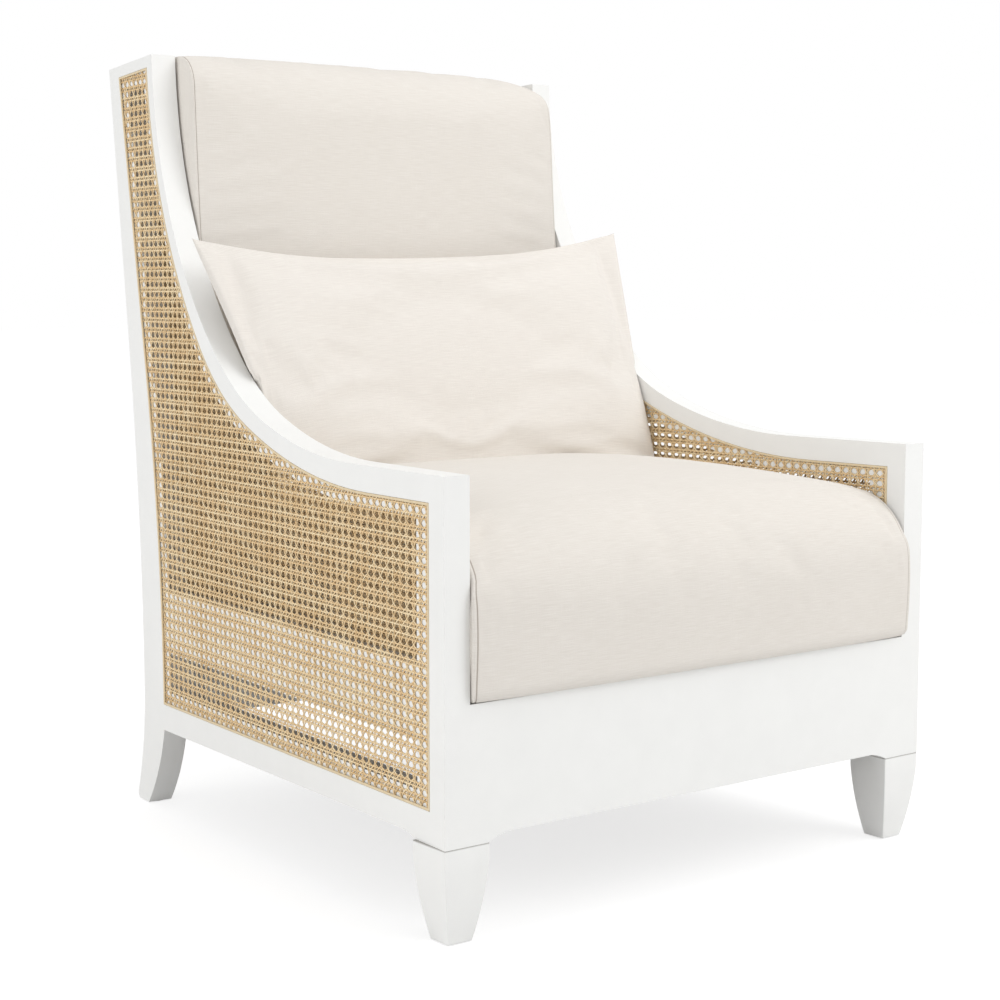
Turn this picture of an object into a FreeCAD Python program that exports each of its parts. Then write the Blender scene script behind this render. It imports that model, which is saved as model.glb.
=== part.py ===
import FreeCAD, Part
import math
import os
from types import SimpleNamespace

# An upholstered accent chair: two flat side frames of painted wood, each with a swept arm, a raked
# rear stile that runs down into a splayed leg, and cane on both faces behind a reed spline. The sides
# are turned a little inwards towards the back. Between them stand a front rail, a webbed seat deck
# and an upholstered back, and on these lie a loose seat cushion and a lumbar pillow.
# Millimetres. +Z is up and the chair faces -Y. The origin is on the floor, under the middle of the
# chair's outline. Every size is in the sheet below, and all others are worked out from these.

doc = FreeCAD.newDocument("AccentChair")
sizes = doc.addObject("Spreadsheet::Sheet", "Sizes")

DRIVING_SIZES = [
    # The two side frames seen from above
    ("overall_width", 762, "across the outer faces of the front posts"),
    ("side_thickness", 34, "thickness of a side frame"),
    ("toe_angle", 3.44, "degrees that each side frame is turned inwards"),
    # The arm: level at the front, then a sweep of three arcs up to the back
    ("arm_height", 517.5, "top of the arm above the floor"),
    ("arm_sweep_end", 60.1, "where the sweep ends, in front of the stile's waist"),
    ("arm_front_turn", 19.7, "degrees of the sweep's first arc"),
    ("arm_middle_turn", 20.8, "degrees of the second"),
    ("arm_rear_turn", 47, "degrees of the third"),
    ("back_top_height", 1019.5, "top edge of the side frame, measured above the stile's waist"),
    ("back_top_slope", 3.44, "degrees that this edge falls towards the rear"),
    # The rear stile and its splayed leg
    ("waist_height", 165, "height where the stile's rear edge is upright"),
    ("waist_reach", 775, "from the front of the post back to that edge"),
    ("stile_radius", 3700, "rear edge above the waist"),
    ("stile_turn", 7.49, "degrees of that arc, the rake of the back"),
    ("heel_kick", 30.5, "how far the heel stands behind the waist"),
    ("rear_foot_length", 37.5, "from the heel forward to the front of the rear foot"),
    ("heel_radius", 10, "rounding of the heel"),
    ("leg_waist_width", 63, "width of the rear leg at the rail"),
    ("leg_front_swell", 7.5, "how far the rear leg's front edge swells forward"),
    # The rails' undersides, and the small brackets that come down to the front leg
    ("leg_top_height", 112.5, "joint between the front leg and the post"),
    ("side_underside", 118, "underside of the bottom rail at its front"),
    ("rear_underside", 114, "underside of the bottom rail at the rear leg"),
    ("front_underside", 121, "underside of the front rail"),
    ("bracket_run", 30, "length of the bracket curve beside the leg"),
    # The opening in a side frame, out to the outer edge of the spline
    ("opening_margin", 30.5, "visible width of the front post"),
    ("opening_bottom", 149.5, "lower edge of the opening"),
    ("arm_visible_height", 30.2, "of the level arm above the opening"),
    ("opening_sweep_gap", 15.4, "from the end of the arm's sweep back to the opening's"),
    ("opening_front_turn", 22.6, "degrees of the opening's first arc"),
    ("opening_middle_turn", 27.2, "degrees of the second"),
    ("opening_rear_turn", 35.5, "degrees of the third"),
    ("opening_rear_margin", 62.5, "visible width of the stile at the opening's bottom"),
    ("opening_stile_radius", 2631, "rear edge of the opening"),
    ("opening_stile_turn", 10.1, "degrees of that arc"),
    ("top_margin", 15, "visible height of the top rail"),
    ("ledge_width", 18, "wood that runs on behind the cane"),
    ("recess_depth", 3, "how deep the cane's ledge lies in each face"),
    # Cane and spline
    ("cane_thickness", 1.4, "woven cane sheet"),
    ("cane_gap", 0.3, "between the cane or spline and the edge of its recess"),
    ("spline_width", 3, "reed spline"),
    ("spline_proud", 0.8, "how far the spline stands out of the frame's face"),
    ("net_pitch", 54, "spacing of the cane's gaps"),
    ("net_gap", 32, "side of one gap"),
    ("net_border", 7, "cane left whole inside the spline"),
    # The seat rail inside each side frame
    ("seat_rail_bottom", 222, "underside of the seat rail"),
    ("seat_rail_top", 305, "top of the seat rail"),
    # Front legs
    ("front_leg_top", 60.5, "side of the square leg at its top, and depth of the post on it"),
    ("front_leg_foot", 32.5, "side of the square foot"),
    ("front_leg_collar", 18, "length of the leg before its taper"),
    ("front_leg_swell", 2, "how far the taper swells at half its length"),
    ("glide_height", 1.2, "nylon glide under each foot"),
    ("glide_radius", 11, "nylon glide"),
    ("leg_bolt_radius", 4, "hanger bolt between leg and post"),
    ("leg_bolt_length", 84, "half of it in the leg and half in the post"),
    ("bolt_clearance", 0.1, "round the bolt, and at each of its ends"),
    # Front and rear rails
    ("front_rail_top", 268.7, "top of the front rail"),
    ("front_rail_thickness", 24, "front rail"),
    ("rear_rail_thickness", 22, "rear rail"),
    ("rear_inset", 2, "rear rail in front of the stile's rear edge"),
    # The webbed seat deck: four bars, two layers of straps and a felt pad
    ("deck_bar_width", 30, "bars of the seat deck, seen from above"),
    ("deck_bar_bottom", 212, "underside of the bars"),
    ("deck_bar_top", 262, "top of the bars"),
    ("strap_width", 50, "elastic webbing"),
    ("strap_thickness", 1.4, "elastic webbing"),
    ("strap_gap", 0.1, "between layers"),
    ("deck_pad_thickness", 3.3, "felt pad over the straps"),
    ("block_leg", 70, "short side of a corner block"),
    ("dust_cover_thickness", 0.8, "cloth under the deck"),
    # The upholstered back: a frame, straps and an outside panel
    ("back_panel_inset", 1, "outside panel in front of the stile's rear edge"),
    ("back_panel_thickness", 2.8, "board of the outside back"),
    ("back_bar_depth", 28, "front to back, bars of the back frame"),
    ("back_bar_width", 45, "bars of the back frame"),
    ("back_frame_drop", 19.5, "from the side frames' top down to the back frame's"),
    ("soft_gap", 0.4, "between a soft part and what carries it"),
    ("back_cushion_depth", 157, "from the stile's rear edge to the cushion's front corners, at its foot"),
    ("back_cushion_top_depth", 186, "the same depth at its top, where it is fullest"),
    ("back_crown", 16, "how far the middle of the back stands in front of its corners"),
    ("back_cushion_bottom", 272, "lower edge of the back cushion"),
    ("back_cushion_lift", 3, "top of the back cushion over the side frames'"),
    ("back_edge_radius", 30, "rounding along the top of the back cushion"),
    ("back_side_gap", 3, "between the back cushion and the side frame"),
    # Seat cushion
    ("seat_front_swell", 12, "how far the cushion's front stands proud of the posts"),
    ("seat_rear_margin", 179, "from the stile's waist forward to the rear face of the cushion"),
    ("seat_edge_height", 455, "seam height of the cushion's top"),
    ("seat_crown", 24, "how far the middle of the cushion stands over its edges"),
    ("seat_front_radius", 56, "rounding along the front of the cushion"),
    ("seat_rear_radius", 18, "rounding along the rear of the cushion"),
    ("seat_side_gap", 2, "between the cushion and the side frame"),
    ("seat_draw_in", 5, "how far the cushion's sides pull in at half its depth"),
    ("seat_core_margin", 45, "cover and fibre wrap round the foam core"),
    # Lumbar pillow
    ("pillow_side_gap", 28, "between its lower corners and the side frames"),
    ("pillow_ear_reach", 17, "how far its upper corners spread over the arms"),
    ("pillow_rear_margin", 328, "from the stile's waist forward to its lower corners"),
    ("pillow_lean", 20.5, "degrees from upright"),
    ("pillow_height", 344, "along its lean, at the corners"),
    ("pillow_dip", 24, "how far its upper edge dips between the corners"),
    ("pillow_bow", 40, "how far its middle lies behind its ends"),
    ("pillow_half_thickness", 66, "at its middle"),
    ("pillow_end_half_thickness", 4, "at its ends"),
    ("pillow_seat_gap", 0.65, "over the crown of the seat cushion"),
    # Booleans
    ("overrun", 5, "how far a cutting piece runs past what it cuts"),
]

for row, (alias, value, meaning) in enumerate(DRIVING_SIZES, start=1):
    sizes.set(f"A{row}", meaning)
    sizes.set(f"B{row}", str(value))
    sizes.setAlias(f"B{row}", alias)
doc.recompute()
mm = SimpleNamespace(**{alias: float(sizes.get(alias)) for alias, value, meaning in DRIVING_SIZES})

toe = math.radians(mm.toe_angle)
nodes = []


def keep(piece, name):
    """Marks an object as one of the chair's pieces, under the name of its file."""
    piece.Label = name
    nodes.append(piece)
    return piece


def feature(name, shape):
    """An object that holds a shape worked out from the sizes."""
    made = doc.addObject("Part::Feature", name)
    made.Shape = shape
    return made


def extrusion(name, face, direction, forward, backward="0"):
    """A face pushed out along a direction; forward and backward are expressions on the sheet."""
    made = doc.addObject("Part::Extrusion", name)
    made.Base = feature(f"{name}_outline", face)
    made.DirMode = "Custom"
    made.Dir = direction
    made.Solid = True
    made.setExpression("LengthFwd", forward)
    made.setExpression("LengthRev", backward)
    return made


def boolean(kind, name, base, tool):
    """A Cut, Fuse or Common of two objects."""
    made = doc.addObject(f"Part::{kind}", name)
    made.Base = base
    made.Tool = tool
    return made


def group(name, members):
    """Several like solids that share one node."""
    made = doc.addObject("Part::Compound", name)
    made.Links = members
    return made


def box(name, length, width, height, corner):
    """A box whose sizes and corner are expressions on the sheet."""
    made = doc.addObject("Part::Box", name)
    for key, expression in (("Length", length), ("Width", width), ("Height", height)):
        made.setExpression(key, expression)
    for axis, expression in zip("xyz", corner):
        made.setExpression(f"Placement.Base.{axis}", expression)
    return made


X_AXIS = FreeCAD.Vector(1, 0, 0)
Y_AXIS = FreeCAD.Vector(0, 1, 0)
Z_AXIS = FreeCAD.Vector(0, 0, 1)


class Path:
    """A chain of lines and arcs in an upright plane: y to the rear, z up, heading in degrees."""

    def __init__(self, y, z, heading=0.0):
        self.y, self.z, self.heading = y, z, heading
        self.edges = []

    def here(self):
        return FreeCAD.Vector(0, self.y, self.z)

    def line_to(self, y, z):
        start = self.here()
        self.y, self.z = y, z
        self.edges.append(Part.makeLine(start, self.here()))
        return self

    def arc(self, radius, turn):
        """A tangent arc; a positive turn bends upwards from a level heading."""
        start = self.here()
        side = math.copysign(1, turn)
        normal = math.radians(self.heading + side * 90)
        centre = start + FreeCAD.Vector(0, math.cos(normal), math.sin(normal)) * radius
        points = []
        for share in (0.5, 1):
            angle = math.radians(self.heading + turn * share - side * 90)
            points.append(centre + FreeCAD.Vector(0, math.cos(angle), math.sin(angle)) * radius)
        self.edges.append(Part.Arc(start, *points).toShape())
        self.y, self.z = points[1].y, points[1].z
        self.heading += turn
        return self

    def arc_to(self, y, z, bow):
        """An arc to a point, whose middle lies off the chord by the bow, on its right-hand side."""
        start = self.here()
        end = FreeCAD.Vector(0, y, z)
        chord = end - start
        right = FreeCAD.Vector(0, chord.z, -chord.y).normalize()
        self.edges.append(Part.Arc(start, (start + end) * 0.5 + right * bow, end).toShape())
        self.y, self.z = y, z
        return self

    def meet(self, y, z, heading):
        """A straight run on to the line through (y, z) at this heading."""
        along, other = math.radians(self.heading), math.radians(heading)
        cross = math.cos(along) * math.sin(other) - math.sin(along) * math.cos(other)
        run = ((y - self.y) * math.sin(other) - (z - self.z) * math.cos(other)) / cross
        return self.line_to(self.y + run * math.cos(along), self.z + run * math.sin(along))


def face_of(edges):
    return Part.Face(Part.Wire(Part.__sortEdges__(edges)))


def rectangle(y0, z0, y1, z1):
    return face_of(Path(y0, z0).line_to(y1, z0).line_to(y1, z1).line_to(y0, z1).line_to(y0, z0).edges)


def only_face(shape):
    return shape.Faces[0]


# The outline of a side frame, seen from the side. Its plane has x = 0 on the frame's outer face.

def rear_edge(forward=0.0, start_height=None):
    """The stile's rear edge from the waist up to the top, moved forwards by a distance."""
    path = Path(mm.waist_reach - forward, mm.waist_height, 90)
    path.arc(mm.stile_radius + forward, -mm.stile_turn)
    return path.meet(mm.waist_reach, mm.back_top_height, -mm.back_top_slope)


ARM_RADIUS_SHARES = (1.2888, 0.6833, 1.0976)  # of the sweep's rise, for its three arcs
OPENING_RADIUS_SHARES = (1.4965, 0.6284, 1.2452)


def sweep(path, rise, end, radius_shares, turns, drawn_in=0):
    """Runs level, then climbs in tangent arcs whose radii follow the rise and whose last ends at a reach.

    A path drawn in from that line by a distance has the same centres and turns, and larger radii."""
    radii = [rise * share for share in radius_shares]
    heading, run = 0, 0
    for radius, turn in zip(radii, turns):
        run += radius * (math.sin(math.radians(heading + turn)) - math.sin(math.radians(heading)))
        heading += turn
    path.line_to(end - run, path.z)
    for radius, turn in zip(radii, turns):
        path.arc(radius + drawn_in, turn)
    return path


sweep_end = mm.waist_reach - mm.arm_sweep_end
arm_edge = sweep(Path(0, mm.arm_height), mm.back_top_height - mm.arm_height, sweep_end, ARM_RADIUS_SHARES,
                 (mm.arm_front_turn, mm.arm_middle_turn, mm.arm_rear_turn))
arm_edge.meet(mm.waist_reach, mm.back_top_height, -mm.back_top_slope)

stile_edge = rear_edge()
foot_bottom = mm.glide_height
kick_height = mm.waist_height - foot_bottom
kick_radius = (kick_height ** 2 + mm.heel_kick ** 2) / (2 * mm.heel_kick)
heel_top = foot_bottom + mm.heel_radius
kick_turn = math.asin((mm.waist_height - heel_top) / kick_radius)
kick_reach = mm.waist_reach + kick_radius * (1 - math.cos(kick_turn))
heel_reach = mm.waist_reach + mm.heel_kick
leg_front_reach = mm.waist_reach - mm.leg_waist_width
kick_degrees = math.degrees(kick_turn)
heel_edge = Path(kick_reach, heel_top, 90 + kick_degrees).arc(kick_radius, -kick_degrees)

HEEL_BOW_SHARE = 0.3  # of its radius, how far the heel's rounding bows out
BRACKET_SHARE = 0.25  # how much of its drop the bracket has made at half its run
bracket_drop = mm.side_underside - mm.leg_top_height
bracket_end = mm.front_leg_top + mm.bracket_run


def bracket(start, middle, end):
    return Part.Arc(start, middle, end).toShape()


underside = Path(kick_reach, heel_top)
underside.arc_to(heel_reach - mm.heel_radius, foot_bottom, -mm.heel_radius * HEEL_BOW_SHARE)
underside.line_to(heel_reach - mm.rear_foot_length, foot_bottom)
underside.arc_to(leg_front_reach, mm.rear_underside, -mm.leg_front_swell)
underside.line_to(bracket_end, mm.side_underside)
bracket_middle = mm.side_underside - bracket_drop * BRACKET_SHARE
underside.edges.append(bracket(
    underside.here(),
    FreeCAD.Vector(0, (bracket_end + mm.front_leg_top) / 2, bracket_middle),
    FreeCAD.Vector(0, mm.front_leg_top, mm.leg_top_height)))
underside.y, underside.z = mm.front_leg_top, mm.leg_top_height
underside.line_to(0, mm.leg_top_height).line_to(0, mm.arm_height)

top_edge = Part.makeLine(arm_edge.here(), stile_edge.here())
silhouette = face_of(arm_edge.edges + [top_edge] + stile_edge.edges + heel_edge.edges + underside.edges)

upper_reach = heel_reach + mm.stile_radius * math.sin(math.radians(mm.stile_turn))


def outer_opening(drawn_in=0):
    """The opening in a side frame, drawn in all round by a distance: its arcs keep their centres."""
    level = mm.arm_height - mm.arm_visible_height
    high = mm.back_top_height - mm.top_margin
    low = mm.opening_bottom + drawn_in
    front = mm.opening_margin + drawn_in
    slope = math.radians(mm.back_top_slope)
    top_y = mm.waist_reach - drawn_in * math.sin(slope)
    top_z = high - drawn_in * math.cos(slope)
    edge = Path(front, low).line_to(front, level - drawn_in)
    sweep(edge, high - level, sweep_end + mm.opening_sweep_gap, OPENING_RADIUS_SHARES,
          (mm.opening_front_turn, mm.opening_middle_turn, mm.opening_rear_turn), drawn_in)
    edge.meet(top_y, top_z, -mm.back_top_slope)
    radius = mm.opening_stile_radius + drawn_in
    turned = math.asin(drawn_in / radius)
    rear_reach = mm.waist_reach - mm.opening_rear_margin - drawn_in + radius * (1 - math.cos(turned))
    rear = Path(rear_reach, low, 90 - math.degrees(turned))
    rear.arc(radius, math.degrees(turned) - mm.opening_stile_turn)
    rear.meet(top_y, top_z, -mm.back_top_slope)
    top = Part.makeLine(edge.here(), rear.here())
    base = Part.makeLine(FreeCAD.Vector(0, rear_reach, low), FreeCAD.Vector(0, front, low))
    return face_of(edge.edges + [top] + rear.edges + [base])


def inner_opening(drawn_in=0):
    """The opening above the seat rail, drawn in all round by a distance."""
    low = mm.seat_rail_top - mm.ledge_width + drawn_in
    return only_face(outer_opening(drawn_in).common(rectangle(0, low, upper_reach, mm.back_top_height)))


# Where the members of a side frame meet: the post runs full height and is as deep as the leg below it,
# the bottom rail runs from it to the rear leg, and the short top rail closes the corner between the
# arm and the stile.
post_depth = mm.front_leg_top
window = only_face(outer_opening(mm.ledge_width).common(
    rectangle(post_depth, 0, upper_reach, mm.back_top_height)))
rail_top = mm.opening_bottom + mm.ledge_width
ring = silhouette.cut(window)
post_zone = rectangle(-mm.overrun, 0, post_depth, mm.back_top_height)
rail_zone = rectangle(post_depth, 0, leg_front_reach, rail_top)
top_corners = sorted((v.Point for v in window.Vertexes), key=lambda point: point.z)[-2:]
top_front, top_rear = sorted(top_corners, key=lambda point: point.y)
top_zone = rectangle(top_front.y, top_rear.z, top_rear.y, mm.back_top_height + mm.top_margin)
bends = ring.cut(post_zone).cut(rail_zone).cut(top_zone).Faces
bends.sort(key=lambda face: face.CenterOfMass.y)
member_faces = {
    "front_post": only_face(ring.common(post_zone)),
    "bottom_rail": only_face(ring.common(rail_zone)),
    "top_rail": only_face(ring.common(top_zone)),
    "arm_rail": bends[0],
    "rear_stile": bends[-1],
}

# The front corner of each post is trimmed level with the front rail, because the side frame is turned.
trim_depth = mm.side_thickness * math.tan(toe)
trim_wire = Part.makePolygon([
    FreeCAD.Vector(-mm.overrun, -trim_depth * mm.overrun / mm.side_thickness, 0),
    FreeCAD.Vector(mm.side_thickness + mm.overrun, trim_depth * (1 + mm.overrun / mm.side_thickness), 0),
    FreeCAD.Vector(mm.side_thickness + mm.overrun, -mm.overrun, 0),
    FreeCAD.Vector(-mm.overrun, -mm.overrun, 0),
    FreeCAD.Vector(-mm.overrun, -trim_depth * mm.overrun / mm.side_thickness, 0)])
front_trim = extrusion("front_trim", Part.Face(trim_wire), Z_AXIS, "Sizes.arm_height + Sizes.overrun")

outer_recess = extrusion("outer_recess", outer_opening(), X_AXIS, "Sizes.recess_depth", "Sizes.overrun")
inner_recess = extrusion("inner_recess", inner_opening(), X_AXIS,
                         "Sizes.side_thickness + Sizes.overrun",
                         "Sizes.recess_depth - Sizes.side_thickness")
recesses = boolean("Fuse", "cane_recesses", outer_recess, inner_recess)

# Plan position and setback: the rearmost point is the top corner of the stile's outer face, and the
# frontmost is the swell of the seat cushion.
rear_reach = stile_edge.y * math.cos(toe)
setback = (rear_reach - mm.seat_front_swell) / 2
sizes.set(f"A{len(DRIVING_SIZES) + 1}", "from the front of the posts to the origin, worked out")
sizes.set(f"B{len(DRIVING_SIZES) + 1}", str(setback))
sizes.setAlias(f"B{len(DRIVING_SIZES) + 1}", "setback")


def stand_side(piece):
    """Turns a piece of the left side frame inwards and stands it in its place."""
    piece.Placement = FreeCAD.Placement(FreeCAD.Vector(), FreeCAD.Rotation(FreeCAD.Vector(0, 0, -1), 0))
    piece.setExpression("Placement.Base.x", "-Sizes.overall_width / 2")
    piece.setExpression("Placement.Base.y", "-Sizes.setback")
    piece.setExpression("Placement.Rotation.Angle", "Sizes.toe_angle * 1 deg")
    return piece


def stand_middle(piece):
    """Moves a piece that is drawn from the front of the posts back to the chair's origin."""
    piece.setExpression("Placement.Base.y", "-Sizes.setback")
    return piece


def mirrored(piece, name):
    """The same piece on the chair's other side."""
    other = doc.addObject("Part::Mirroring", name)
    other.Source = piece
    other.Normal = X_AXIS
    other.Base = FreeCAD.Vector()
    return other


def both_sides(piece, name):
    keep(piece, f"left_{name}")
    keep(mirrored(piece, f"right_{name}"), f"right_{name}")


# Hanger bolts hold the front legs: one stands in the middle of each post and leg.

def leg_bolt(name, extra):
    """A bolt, or with the clearance as extra the hole for it."""
    made = doc.addObject("Part::Cylinder", name)
    made.setExpression("Radius", f"Sizes.leg_bolt_radius + {extra}")
    made.setExpression("Height", f"Sizes.leg_bolt_length + 2 * {extra}")
    made.setExpression("Placement.Base.x", "-Sizes.overall_width / 2 + Sizes.side_thickness / 2")
    made.setExpression("Placement.Base.y", "Sizes.front_leg_top / 2 - Sizes.setback")
    made.setExpression("Placement.Base.z", f"Sizes.leg_top_height - Sizes.leg_bolt_length / 2 - {extra}")
    return made


bolt_hole = leg_bolt("bolt_hole", "Sizes.bolt_clearance")
left_bolt = leg_bolt("left_bolt", "0")

# Side frame members
for member, face in member_faces.items():
    blank = extrusion(f"{member}_blank", face, X_AXIS, "Sizes.side_thickness")
    piece = boolean("Cut", f"left_{member}_shaped", blank, recesses)
    if member == "front_post":
        piece = boolean("Cut", f"left_{member}_trimmed", piece, front_trim)
    piece = stand_side(piece)
    if member == "front_post":
        piece = boolean("Cut", f"left_{member}_bored", piece, bolt_hole)
    both_sides(piece, member)

seat_rail_face = only_face(window.common(
    rectangle(0, mm.seat_rail_bottom, upper_reach, mm.seat_rail_top)))
seat_rail = extrusion("left_seat_rail_solid", seat_rail_face, X_AXIS,
                      "Sizes.side_thickness - Sizes.recess_depth", "-Sizes.recess_depth")
both_sides(stand_side(seat_rail), "seat_rail")


# Cane sheets and their splines

def holed(opening_at):
    """The cane sheet: rows of square gaps, wherever a gap fits clear of the border."""
    clear = opening_at(mm.cane_gap + mm.spline_width + mm.net_border)
    bounds = clear.BoundBox
    columns = int(bounds.YLength / mm.net_pitch) + 1
    rows = int(bounds.ZLength / mm.net_pitch) + 1
    gaps = []
    for column in range(columns):
        for row in range(rows):
            y = bounds.YMin + column * mm.net_pitch
            z = bounds.ZMin + row * mm.net_pitch
            corners = [FreeCAD.Vector(0, y + a * mm.net_gap, z + b * mm.net_gap)
                       for a in (0, 1) for b in (0, 1)]
            if all(clear.isInside(corner, mm.cane_gap, True) for corner in corners):
                gaps.append(rectangle(y, z, y + mm.net_gap, z + mm.net_gap).OuterWire)
    return Part.Face([opening_at(mm.cane_gap).OuterWire] + gaps)


def spline_ring(opening_at):
    return only_face(opening_at(mm.cane_gap).cut(opening_at(mm.cane_gap + mm.spline_width)))


# Each entry: piece, face, how far its two faces lie from the side frame's outer face
cane_pieces = [
    ("outer_cane", holed(outer_opening), "Sizes.recess_depth", "Sizes.cane_thickness - Sizes.recess_depth"),
    ("outer_spline", spline_ring(outer_opening),
     "Sizes.recess_depth - Sizes.cane_thickness", "Sizes.spline_proud"),
    ("inner_cane", holed(inner_opening),
     "Sizes.side_thickness - Sizes.recess_depth + Sizes.cane_thickness",
     "Sizes.recess_depth - Sizes.side_thickness"),
    ("inner_spline", spline_ring(inner_opening),
     "Sizes.side_thickness + Sizes.spline_proud",
     "Sizes.recess_depth - Sizes.cane_thickness - Sizes.side_thickness"),
]
for name, face, forward, backward in cane_pieces:
    both_sides(stand_side(extrusion(f"left_{name}_solid", face, X_AXIS, forward, backward)), name)


# Front legs: square blocks that stand straight at the top and taper on all four sides, so a leg is
# where two slabs of the same outline cross.
leg_inset = (mm.front_leg_top - mm.front_leg_foot) / 2
collar_base = mm.leg_top_height - mm.front_leg_collar
leg_outline = Path(0, mm.leg_top_height).line_to(0, collar_base)
leg_outline.arc_to(leg_inset, mm.glide_height, mm.front_leg_swell)
leg_outline.line_to(mm.front_leg_top - leg_inset, mm.glide_height)
leg_outline.arc_to(mm.front_leg_top, collar_base, mm.front_leg_swell)
leg_outline.line_to(mm.front_leg_top, mm.leg_top_height).line_to(0, mm.leg_top_height)
leg_face = face_of(leg_outline.edges)
turned_face = leg_face.copy()
turned_face.rotate(FreeCAD.Vector(), Z_AXIS, -90)
leg = boolean("Common", "left_front_leg_shaped",
              extrusion("leg_across", leg_face, X_AXIS, "Sizes.front_leg_top"),
              extrusion("leg_along", turned_face, Y_AXIS, "Sizes.front_leg_top"))
leg.setExpression("Placement.Base.x", "-Sizes.overall_width / 2")
leg.setExpression("Placement.Base.y", "-Sizes.setback")
both_sides(boolean("Cut", "left_front_leg_bored", leg, bolt_hole), "front_leg")

keep(group("leg_bolts", [left_bolt, mirrored(left_bolt, "right_bolt")]), "leg_bolts")

# Glides under the four feet
rear_foot_y = heel_reach - (mm.heel_radius + mm.rear_foot_length) / 2


def from_side(x, y):
    """A point of the left side frame's plan, as a point of the chair's plan."""
    return (-mm.overall_width / 2 + x * math.cos(toe) + y * math.sin(toe),
            -x * math.sin(toe) + y * math.cos(toe) - setback)


def glide(name, x, y):
    made = doc.addObject("Part::Cylinder", name)
    made.setExpression("Radius", "Sizes.glide_radius")
    made.setExpression("Height", "Sizes.glide_height")
    made.Placement = FreeCAD.Placement(FreeCAD.Vector(x, y, 0), FreeCAD.Rotation())
    return made


front_glide = glide("left_front_glide", -mm.overall_width / 2 + mm.front_leg_top / 2,
                    mm.front_leg_top / 2 - setback)
rear_glide = glide("left_rear_glide", *from_side(mm.side_thickness / 2, rear_foot_y))
keep(group("glides", [front_glide, rear_glide, mirrored(front_glide, "right_front_glide"),
                      mirrored(rear_glide, "right_rear_glide")]), "glides")


# Pieces between the side frames

def inner_half(y):
    """Half the clear width between the side frames, at a distance behind the posts' front."""
    return mm.overall_width / 2 - mm.side_thickness / math.cos(toe) - y * math.tan(toe)


def plan(name, near, far, y0, y1, z0, z1):
    """A block between two lines that follow the left side frame, near and far inside it.

    far may be None, and then the block reaches as far from the right side frame."""
    x = [-(inner_half(y0) - near), -(inner_half(y1) - near)]
    if far is None:
        x += [-x[1], -x[0]]
    else:
        x += [-(inner_half(y1) - far), -(inner_half(y0) - far)]
    corners = [FreeCAD.Vector(a, b, z0) for a, b in zip(x, (y0, y1, y1, y0))]
    face = Part.Face(Part.makePolygon(corners + corners[:1]))
    return feature(name, face.extrude(FreeCAD.Vector(0, 0, z1 - z0)))


front_half = inner_half(0)
leg_inner = mm.overall_width / 2 - mm.front_leg_top
front_drop = mm.front_underside - mm.leg_top_height


def rail_point(x, z):
    return FreeCAD.Vector(x, 0, z)


front_profile = [
    Part.makeLine(rail_point(-front_half, mm.front_rail_top), rail_point(front_half, mm.front_rail_top))]
for side in (-1, 1):
    outer, inner = side * front_half, side * leg_inner
    rise = side * (leg_inner - mm.bracket_run)
    front_profile += [
        Part.makeLine(rail_point(outer, mm.front_rail_top), rail_point(outer, mm.leg_top_height)),
        Part.makeLine(rail_point(outer, mm.leg_top_height), rail_point(inner, mm.leg_top_height)),
        bracket(rail_point(inner, mm.leg_top_height),
                rail_point((inner + rise) / 2, mm.front_underside - front_drop * BRACKET_SHARE),
                rail_point(rise, mm.front_underside))]
front_profile.append(Part.makeLine(rail_point(-leg_inner + mm.bracket_run, mm.front_underside),
                                   rail_point(leg_inner - mm.bracket_run, mm.front_underside)))
rail_blank = extrusion("front_rail_blank", face_of(front_profile), Y_AXIS, "Sizes.front_rail_thickness")
rail_ends = plan("front_rail_ends", 0, None, 0, mm.front_rail_thickness, 0, mm.arm_height)
keep(stand_middle(boolean("Common", "front_rail_solid", rail_blank, rail_ends)), "front_rail")

# The stile's rear edge lies a little further forward on its inner face, because the side is turned.
back_line = mm.waist_reach * math.cos(toe) - mm.side_thickness * math.sin(toe)
rear_rail_back = back_line - mm.rear_inset
rear_rail_front = rear_rail_back - mm.rear_rail_thickness
keep(stand_middle(plan("rear_rail_solid", 0, None, rear_rail_front, rear_rail_back,
                       mm.side_underside, mm.front_rail_top)), "rear_rail")

# Seat deck
deck_front = mm.front_rail_thickness
bar = mm.deck_bar_width
bar_levels = (mm.deck_bar_bottom, mm.deck_bar_top)
keep(stand_middle(plan("deck_front_bar_solid", 0, None, deck_front, deck_front + bar, *bar_levels)),
     "deck_front_bar")
keep(stand_middle(plan("deck_rear_bar_solid", 0, None, rear_rail_front - bar, rear_rail_front, *bar_levels)),
     "deck_rear_bar")
side_bar = plan("deck_side_bar_solid", 0, bar, deck_front + bar, rear_rail_front - bar, *bar_levels)
both_sides(stand_middle(side_bar), "deck_bar")

# Corner blocks: three-cornered, glued and screwed in the corners of the deck
block_low = mm.deck_bar_bottom + mm.strap_thickness
block_high = mm.deck_bar_top - mm.strap_thickness


def corner_block(name, y, direction):
    """A block with its square corner where a cross bar meets the left deck bar."""
    corner_x = -(inner_half(y) - bar)
    far_y = y + direction * mm.block_leg
    corners = [FreeCAD.Vector(corner_x, y, block_low),
               FreeCAD.Vector(corner_x + mm.block_leg, y, block_low),
               FreeCAD.Vector(-(inner_half(far_y) - bar), far_y, block_low)]
    face = Part.Face(Part.makePolygon(corners + corners[:1]))
    return stand_middle(feature(name, face.extrude(FreeCAD.Vector(0, 0, block_high - block_low))))


left_blocks = [corner_block("left_front_block", deck_front + bar, 1),
               corner_block("left_rear_block", rear_rail_front - bar, -1)]
right_blocks = [mirrored(block, block.Name.replace("left", "right")) for block in left_blocks]
keep(group("corner_blocks", left_blocks + right_blocks), "corner_blocks")

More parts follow.
